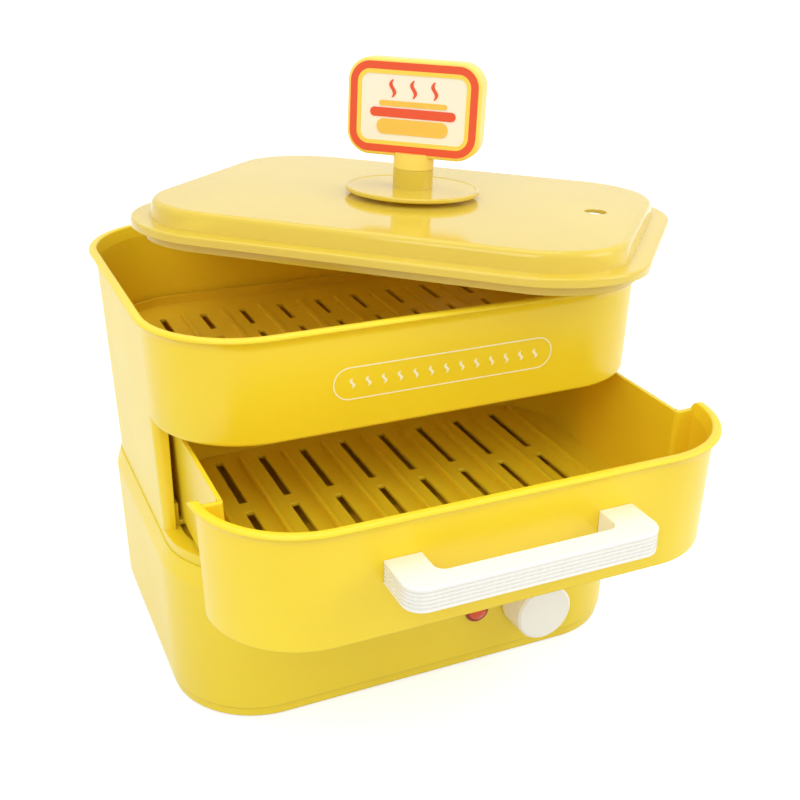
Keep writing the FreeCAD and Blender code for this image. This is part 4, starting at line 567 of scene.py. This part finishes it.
def seen_directly(tree):
    """One for rays from the camera, from gloss and through glass, and zero for the rest."""
    path = add(tree, "ShaderNodeLightPath")
    direct = maths(tree, "MAXIMUM", path.outputs["Is Camera Ray"], path.outputs["Is Glossy Ray"])
    return maths(tree, "MAXIMUM", direct, path.outputs["Is Transmission Ray"])


class STEAMER_OT_body_mouldings(bpy.types.Operator):
    """Finish the base, its cover, the tower and the drawer in glossy yellow plastic"""

    bl_idname = "steamer.body_mouldings"
    bl_label = "Body mouldings"

    def execute(self, context):
        plastics = context.scene.steamer_plastics
        yellow, shader = plastic(
            "yellow_moulding", tuple(plastics.yellow), plastics.roughness,
            plastics.grain, plastics.edge,
        )
        shader.inputs["IOR"].default_value = 1.5
        shader.inputs["Subsurface Weight"].default_value = plastics.glow
        shader.inputs["Subsurface Radius"].default_value = (1.0, 0.55, 0.06)
        shader.inputs["Subsurface Scale"].default_value = plastics.glow_depth
        finish_nodes(("base_shell", "bottom_cover", "housing", "drawer_tray"), yellow)
        amber, _ = plastic(
            "amber_moulding", tuple(plastics.amber), plastics.roughness + 0.06,
            plastics.grain, plastics.edge / 2,
        )
        finish_nodes(("bun_tray", "drip_tray"), amber)
        return {"FINISHED"}


class STEAMER_OT_controls(bpy.types.Operator):
    """Finish the handle, the dial and the indicator"""

    bl_idname = "steamer.controls"
    bl_label = "Handle, dial and indicator"

    def execute(self, context):
        plastics = context.scene.steamer_plastics
        cream, _ = plastic(
            "cream_moulding", tuple(plastics.cream), 0.30, plastics.grain,
            plastics.edge / 3, variation=0.015, wear=0.25, worn=(0.80, 0.74, 0.60),
        )
        finish_nodes(("handle", "dial_knob"), cream)
        bezel, _ = plastic(
            "bezel_red", tuple(plastics.bezel), 0.22, plastics.grain / 2, plastics.edge / 3,
        )
        finish_nodes(("indicator_bezel",), bezel)
        finish_nodes(("indicator_lens", "indicator_lamp"), self.lens(plastics))
        return {"FINISHED"}

    def lens(self, plastics):
        """Glowing-red clear plastic with faint moulded rings."""
        material, tree, shader = blank_material("lens_red")
        surface = place_effect(
            tree, "moulded", Colour=tuple(plastics.lens), Roughness=0.12, Variation=0.10,
            Grain_scale=900.0,
        )
        join(tree, surface.outputs["Colour"], shader.inputs["Base Color"])
        join(tree, surface.outputs["Roughness"], shader.inputs["Roughness"])
        shader.inputs["IOR"].default_value = 1.49
        shader.inputs["Transmission Weight"].default_value = 0.25
        raised(tree, shader, surface.outputs["Height"], LENS_GRAIN)
        return material


class STEAMER_OT_lid(bpy.types.Operator):
    """Finish the lid and its collar in clear yellow plastic"""

    bl_idname = "steamer.lid"
    bl_label = "Lid"

    def execute(self, context):
        plastics = context.scene.steamer_plastics
        material, shader = plastic(
            "clear_yellow", tuple(plastics.lid), 0.10, plastics.grain / 2,
            plastics.edge / 2, variation=0.02, wear=0.12,
        )
        shader.inputs["IOR"].default_value = 1.49
        shader.inputs["Transmission Weight"].default_value = plastics.lid_clearness
        finish_nodes(("lid", "lid_collar"), material)
        return {"FINISHED"}


# The sign's half width and half height, and its corner radius
SIGN_FACE = (0.0318, 0.0213)
SIGN_CORNER = 0.0098

# Half length, lower edge, upper edge and corner radius, up from the sign's middle
BUN_HALVES = ((0.0180, -0.0125, -0.0052, 0.0036), (0.0170, 0.0008, 0.0034, 0.0012))

# Lower edge, upper edge and corner radius
SAUSAGE = (-0.0044, 0.0, 0.00215)

# Lower end, upper end, sideways swing and stroke of a steam line
STEAM = (0.0050, 0.0133, 0.0010, 0.0020)


class STEAMER_OT_sign(bpy.types.Operator):
    """Finish the sign and lay its border, line, bun, sausage and steam on its face"""

    bl_idname = "steamer.sign"
    bl_label = "Sign"

    def execute(self, context):
        plastics = context.scene.steamer_plastics
        sign = context.scene.steamer_sign
        body, _ = plastic(
            "sign_yellow", tuple(plastics.sign), 0.32, plastics.grain, plastics.edge,
        )
        finish_nodes(("sign_body",), body)
        finish_nodes(("sign_panel",), ink("sign_face", tuple(sign.face), roughness=0.38))
        place = sign_plane()
        red = ink("sign_red", tuple(sign.red), roughness=0.34)
        bun = ink("sign_bun", tuple(sign.bun), roughness=0.36)
        yellow = ink("sign_line", tuple(sign.line), roughness=0.34)
        outer = self.inset(0.0)
        inner = self.inset(sign.border)
        line = self.inset(sign.border + sign.trim)
        self.piece("sign_border", lambda work: ribbon(work, inner, outer, place, sign.lift), red)
        self.piece("sign_trim", lambda work: ribbon(work, line, inner, place, sign.lift), yellow)
        self.piece("sign_bun", lambda work: self.bun(work, place, sign), bun)
        self.piece("sign_sausage", lambda work: self.sausage(work, place, sign), red)
        self.piece("sign_steam", lambda work: self.steam(work, place, sign), red)
        return {"FINISHED"}

    def piece(self, name, build, material):
        new_piece(name, mesh_from(build, name), material, "lid")

    def inset(self, step):
        """The sign's outline, drawn in by a step all round."""
        half_width, half_height = SIGN_FACE
        return rounded_outline(
            step - half_width, half_width - step, step - half_height, half_height - step,
            SIGN_CORNER - step,
        )

    def bun(self, work, place, sign):
        for reach, low, high, radius in BUN_HALVES:
            slab(work, rounded_outline(-reach, reach, low, high, radius), place, sign.lift)

    def sausage(self, work, place, sign):
        low, high, radius = SAUSAGE
        outline = rounded_outline(-sign.sausage, sign.sausage, low, high, radius)
        slab(work, outline, place, sign.lift)

    def steam(self, work, place, sign):
        low, high, swing, stroke = STEAM
        for index in (-1, 0, 1):
            outline = wave_outline(index * sign.steam_pitch, low, high, swing, stroke)
            slab(work, outline, place, sign.lift)


def sign_plane():
    """Where a point of the sign's face lies: read off the panel and the lid it stands on."""
    panel, lid = (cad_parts[name].data for name in ("sign_panel", "lid"))
    upright = max(lid.polygons, key=lambda face: face.area).normal.copy()
    if upright.z < 0:
        upright.negate()
    facing = max(panel.polygons, key=lambda face: -face.normal.y * face.area).normal.copy()
    across = upright.cross(facing).normalized()
    facing = across.cross(upright)
    middle = Vector()
    for axis, share in ((across, 0.5), (upright, 0.5), (facing, 1.0)):
        reach = [vertex.co.dot(axis) for vertex in panel.vertices]
        middle += axis * (min(reach) * (1.0 - share) + max(reach) * share)
    return lambda x, y, height: middle + across * x + upright * y + facing * height


# A hair of flat left at the outline's round ends, and the steps in each quarter of them
END_FLAT = 0.000001
CORNER_STEPS = 20

# Clear room at each end of the row of marks, as a share of the outline's end radius
END_ROOM_SHARE = 1.15


class STEAMER_OT_print(bpy.types.Operator):
    """Print the outline and its steam marks on the front of the bun compartment"""

    bl_idname = "steamer.print"
    bl_label = "Front print"

    def execute(self, context):
        made = context.scene.steamer_print
        material = ink("pale_ink", tuple(made.ink), roughness=0.40)
        half = made.stroke / 2
        radius = (made.high - made.low) / 2
        outer = rounded_outline(
            made.left - half, made.right + half, made.low - half, made.high + half,
            radius + half - END_FLAT, CORNER_STEPS,
        )
        inner = rounded_outline(
            made.left + half, made.right - half, made.low + half, made.high - half,
            radius - half - END_FLAT, CORNER_STEPS,
        )

        def outline(work):
            ribbon(work, inner, outer, compartment_front, made.thick)

        new_piece("front_outline", mesh_from(outline, "front_outline"), material, "housing")

        def marks(work):
            middle = (made.low + made.high) / 2
            low, high = middle - made.mark_height / 2, middle + made.mark_height / 2
            room = radius * END_ROOM_SHARE
            first, last = made.left + room, made.right - room
            for index in range(made.marks):
                x = first + (last - first) * index / max(1, made.marks - 1)
                wave = wave_outline(x, low, high, made.mark_swing, made.mark_stroke)
                slab(work, wave, compartment_front, made.thick)

        new_piece("front_marks", mesh_from(marks, "front_marks"), material, "housing")
        return {"FINISHED"}


# The height of the tower's foot, how far forward the front stands there, how it leans outwards,
# and the gap under the ink
TOWER_FOOT = 0.080
FRONT_AT_FOOT = 0.0903
FRONT_LEAN_SHARE = 0.029
INK_GAP = 0.00002


def compartment_front(x, z, height):
    """A point on the compartment's flat, slightly leaning front, lifted off it."""
    front = FRONT_AT_FOOT + FRONT_LEAN_SHARE * (z - TOWER_FOOT)
    return Vector((x, -front - INK_GAP - height, z))


class STEAMER_OT_metalwork(bpy.types.Operator):
    """Finish the tank, the heater, the timer, the shaft and the screws in metal"""

    bl_idname = "steamer.metalwork"
    bl_label = "Tank, heater and fastenings"

    def execute(self, context):
        metals = context.scene.steamer_metals
        drawn = metal(
            "drawn_aluminium", tuple(metals.aluminium), roughness=0.30,
            stretch=(1.0, 1.0, 0.06), tarnish=0.2,
        )
        finish_nodes(("water_tank", "heater_plate"), drawn)
        plated = metal(
            "plated_steel", tuple(metals.steel), roughness=0.28,
            stretch=(0.2, 1.0, 1.0), tarnish=0.12,
        )
        finish_nodes(
            ("heater_bracket", "bracket_nuts", "thermostat", "thermal_fuse", "timer_case",
             "timer_screws", "timer_bell", "dial_shaft", "cover_screws", "handle_screws",
             "lid_screw"),
            plated,
        )
        sheath = metal(
            "heater_sheath", tuple(metals.sheath), roughness=0.48,
            stretch=(1.0, 1.0, 1.0), tarnish=0.5,
        )
        finish_nodes(("heating_element",), sheath)
        brass = metal(
            "turned_brass", tuple(metals.brass), roughness=0.25,
            stretch=(1.0, 1.0, 0.1), tarnish=0.1,
        )
        finish_nodes(("terminal_screws",), brass)
        return {"FINISHED"}


class STEAMER_OT_small_plastics(bpy.types.Operator):
    """Finish the feet, the seals, the gland, the lamp holder and the terminal block"""

    bl_idname = "steamer.small_plastics"
    bl_label = "Feet, seals and wiring pieces"

    def execute(self, context):
        plastics = context.scene.steamer_plastics
        rubber, _ = plastic(
            "soft_rubber", tuple(plastics.rubber), 0.78, grain=0.00004, edge=0.0004,
            variation=0.15, wear=0.6, worn=(0.13, 0.125, 0.12), grain_scale=700.0,
        )
        finish_nodes(("rubber_feet", "heater_gasket", "lid_washer"), rubber)
        black, _ = plastic(
            "black_moulding", tuple(plastics.black), 0.45, grain=0.00003, edge=0.0004,
            variation=0.1, wear=0.5, worn=(0.10, 0.10, 0.10), grain_scale=900.0,
        )
        finish_nodes(("cord_gland", "terminal_block", "lamp_holder"), black)
        return {"FINISHED"}


OPERATORS = (
    STEAMER_OT_stage,
    STEAMER_OT_body_mouldings,
    STEAMER_OT_controls,
    STEAMER_OT_lid,
    STEAMER_OT_sign,
    STEAMER_OT_print,
    STEAMER_OT_metalwork,
    STEAMER_OT_small_plastics,
)

SETTINGS = {
    "steamer_plastics": SteamerPlastics,
    "steamer_metals": SteamerMetals,
    "steamer_print": SteamerPrint,
    "steamer_sign": SteamerSign,
    "steamer_stage": SteamerStage,
}


class STEAMER_PT_sidebar(bpy.types.Panel):
    """The steamer's steps and sizes in the sidebar"""

    bl_idname = "STEAMER_PT_sidebar"
    bl_label = "Hot dog steamer"
    bl_space_type = "VIEW_3D"
    bl_region_type = "UI"
    bl_category = "Steamer"

    def draw(self, context):
        for step in OPERATORS:
            self.layout.operator(step.bl_idname)
        for name, group in SETTINGS.items():
            box = self.layout.box()
            for label in group.__annotations__:
                box.prop(getattr(context.scene, name), label)


def register():
    for group in SETTINGS.values():
        bpy.utils.register_class(group)
    for name, group in SETTINGS.items():
        setattr(bpy.types.Scene, name, PointerProperty(type=group))
    for step in OPERATORS:
        bpy.utils.register_class(step)
    bpy.utils.register_class(STEAMER_PT_sidebar)


def unregister():
    bpy.utils.unregister_class(STEAMER_PT_sidebar)
    for step in reversed(OPERATORS):
        bpy.utils.unregister_class(step)
    for name, group in SETTINGS.items():
        delattr(bpy.types.Scene, name)
        bpy.utils.unregister_class(group)


def main():
    register()
    for step in OPERATORS:
        getattr(bpy.ops.steamer, step.bl_idname.split(".")[1])()


if __name__ == "__main__":
    main()
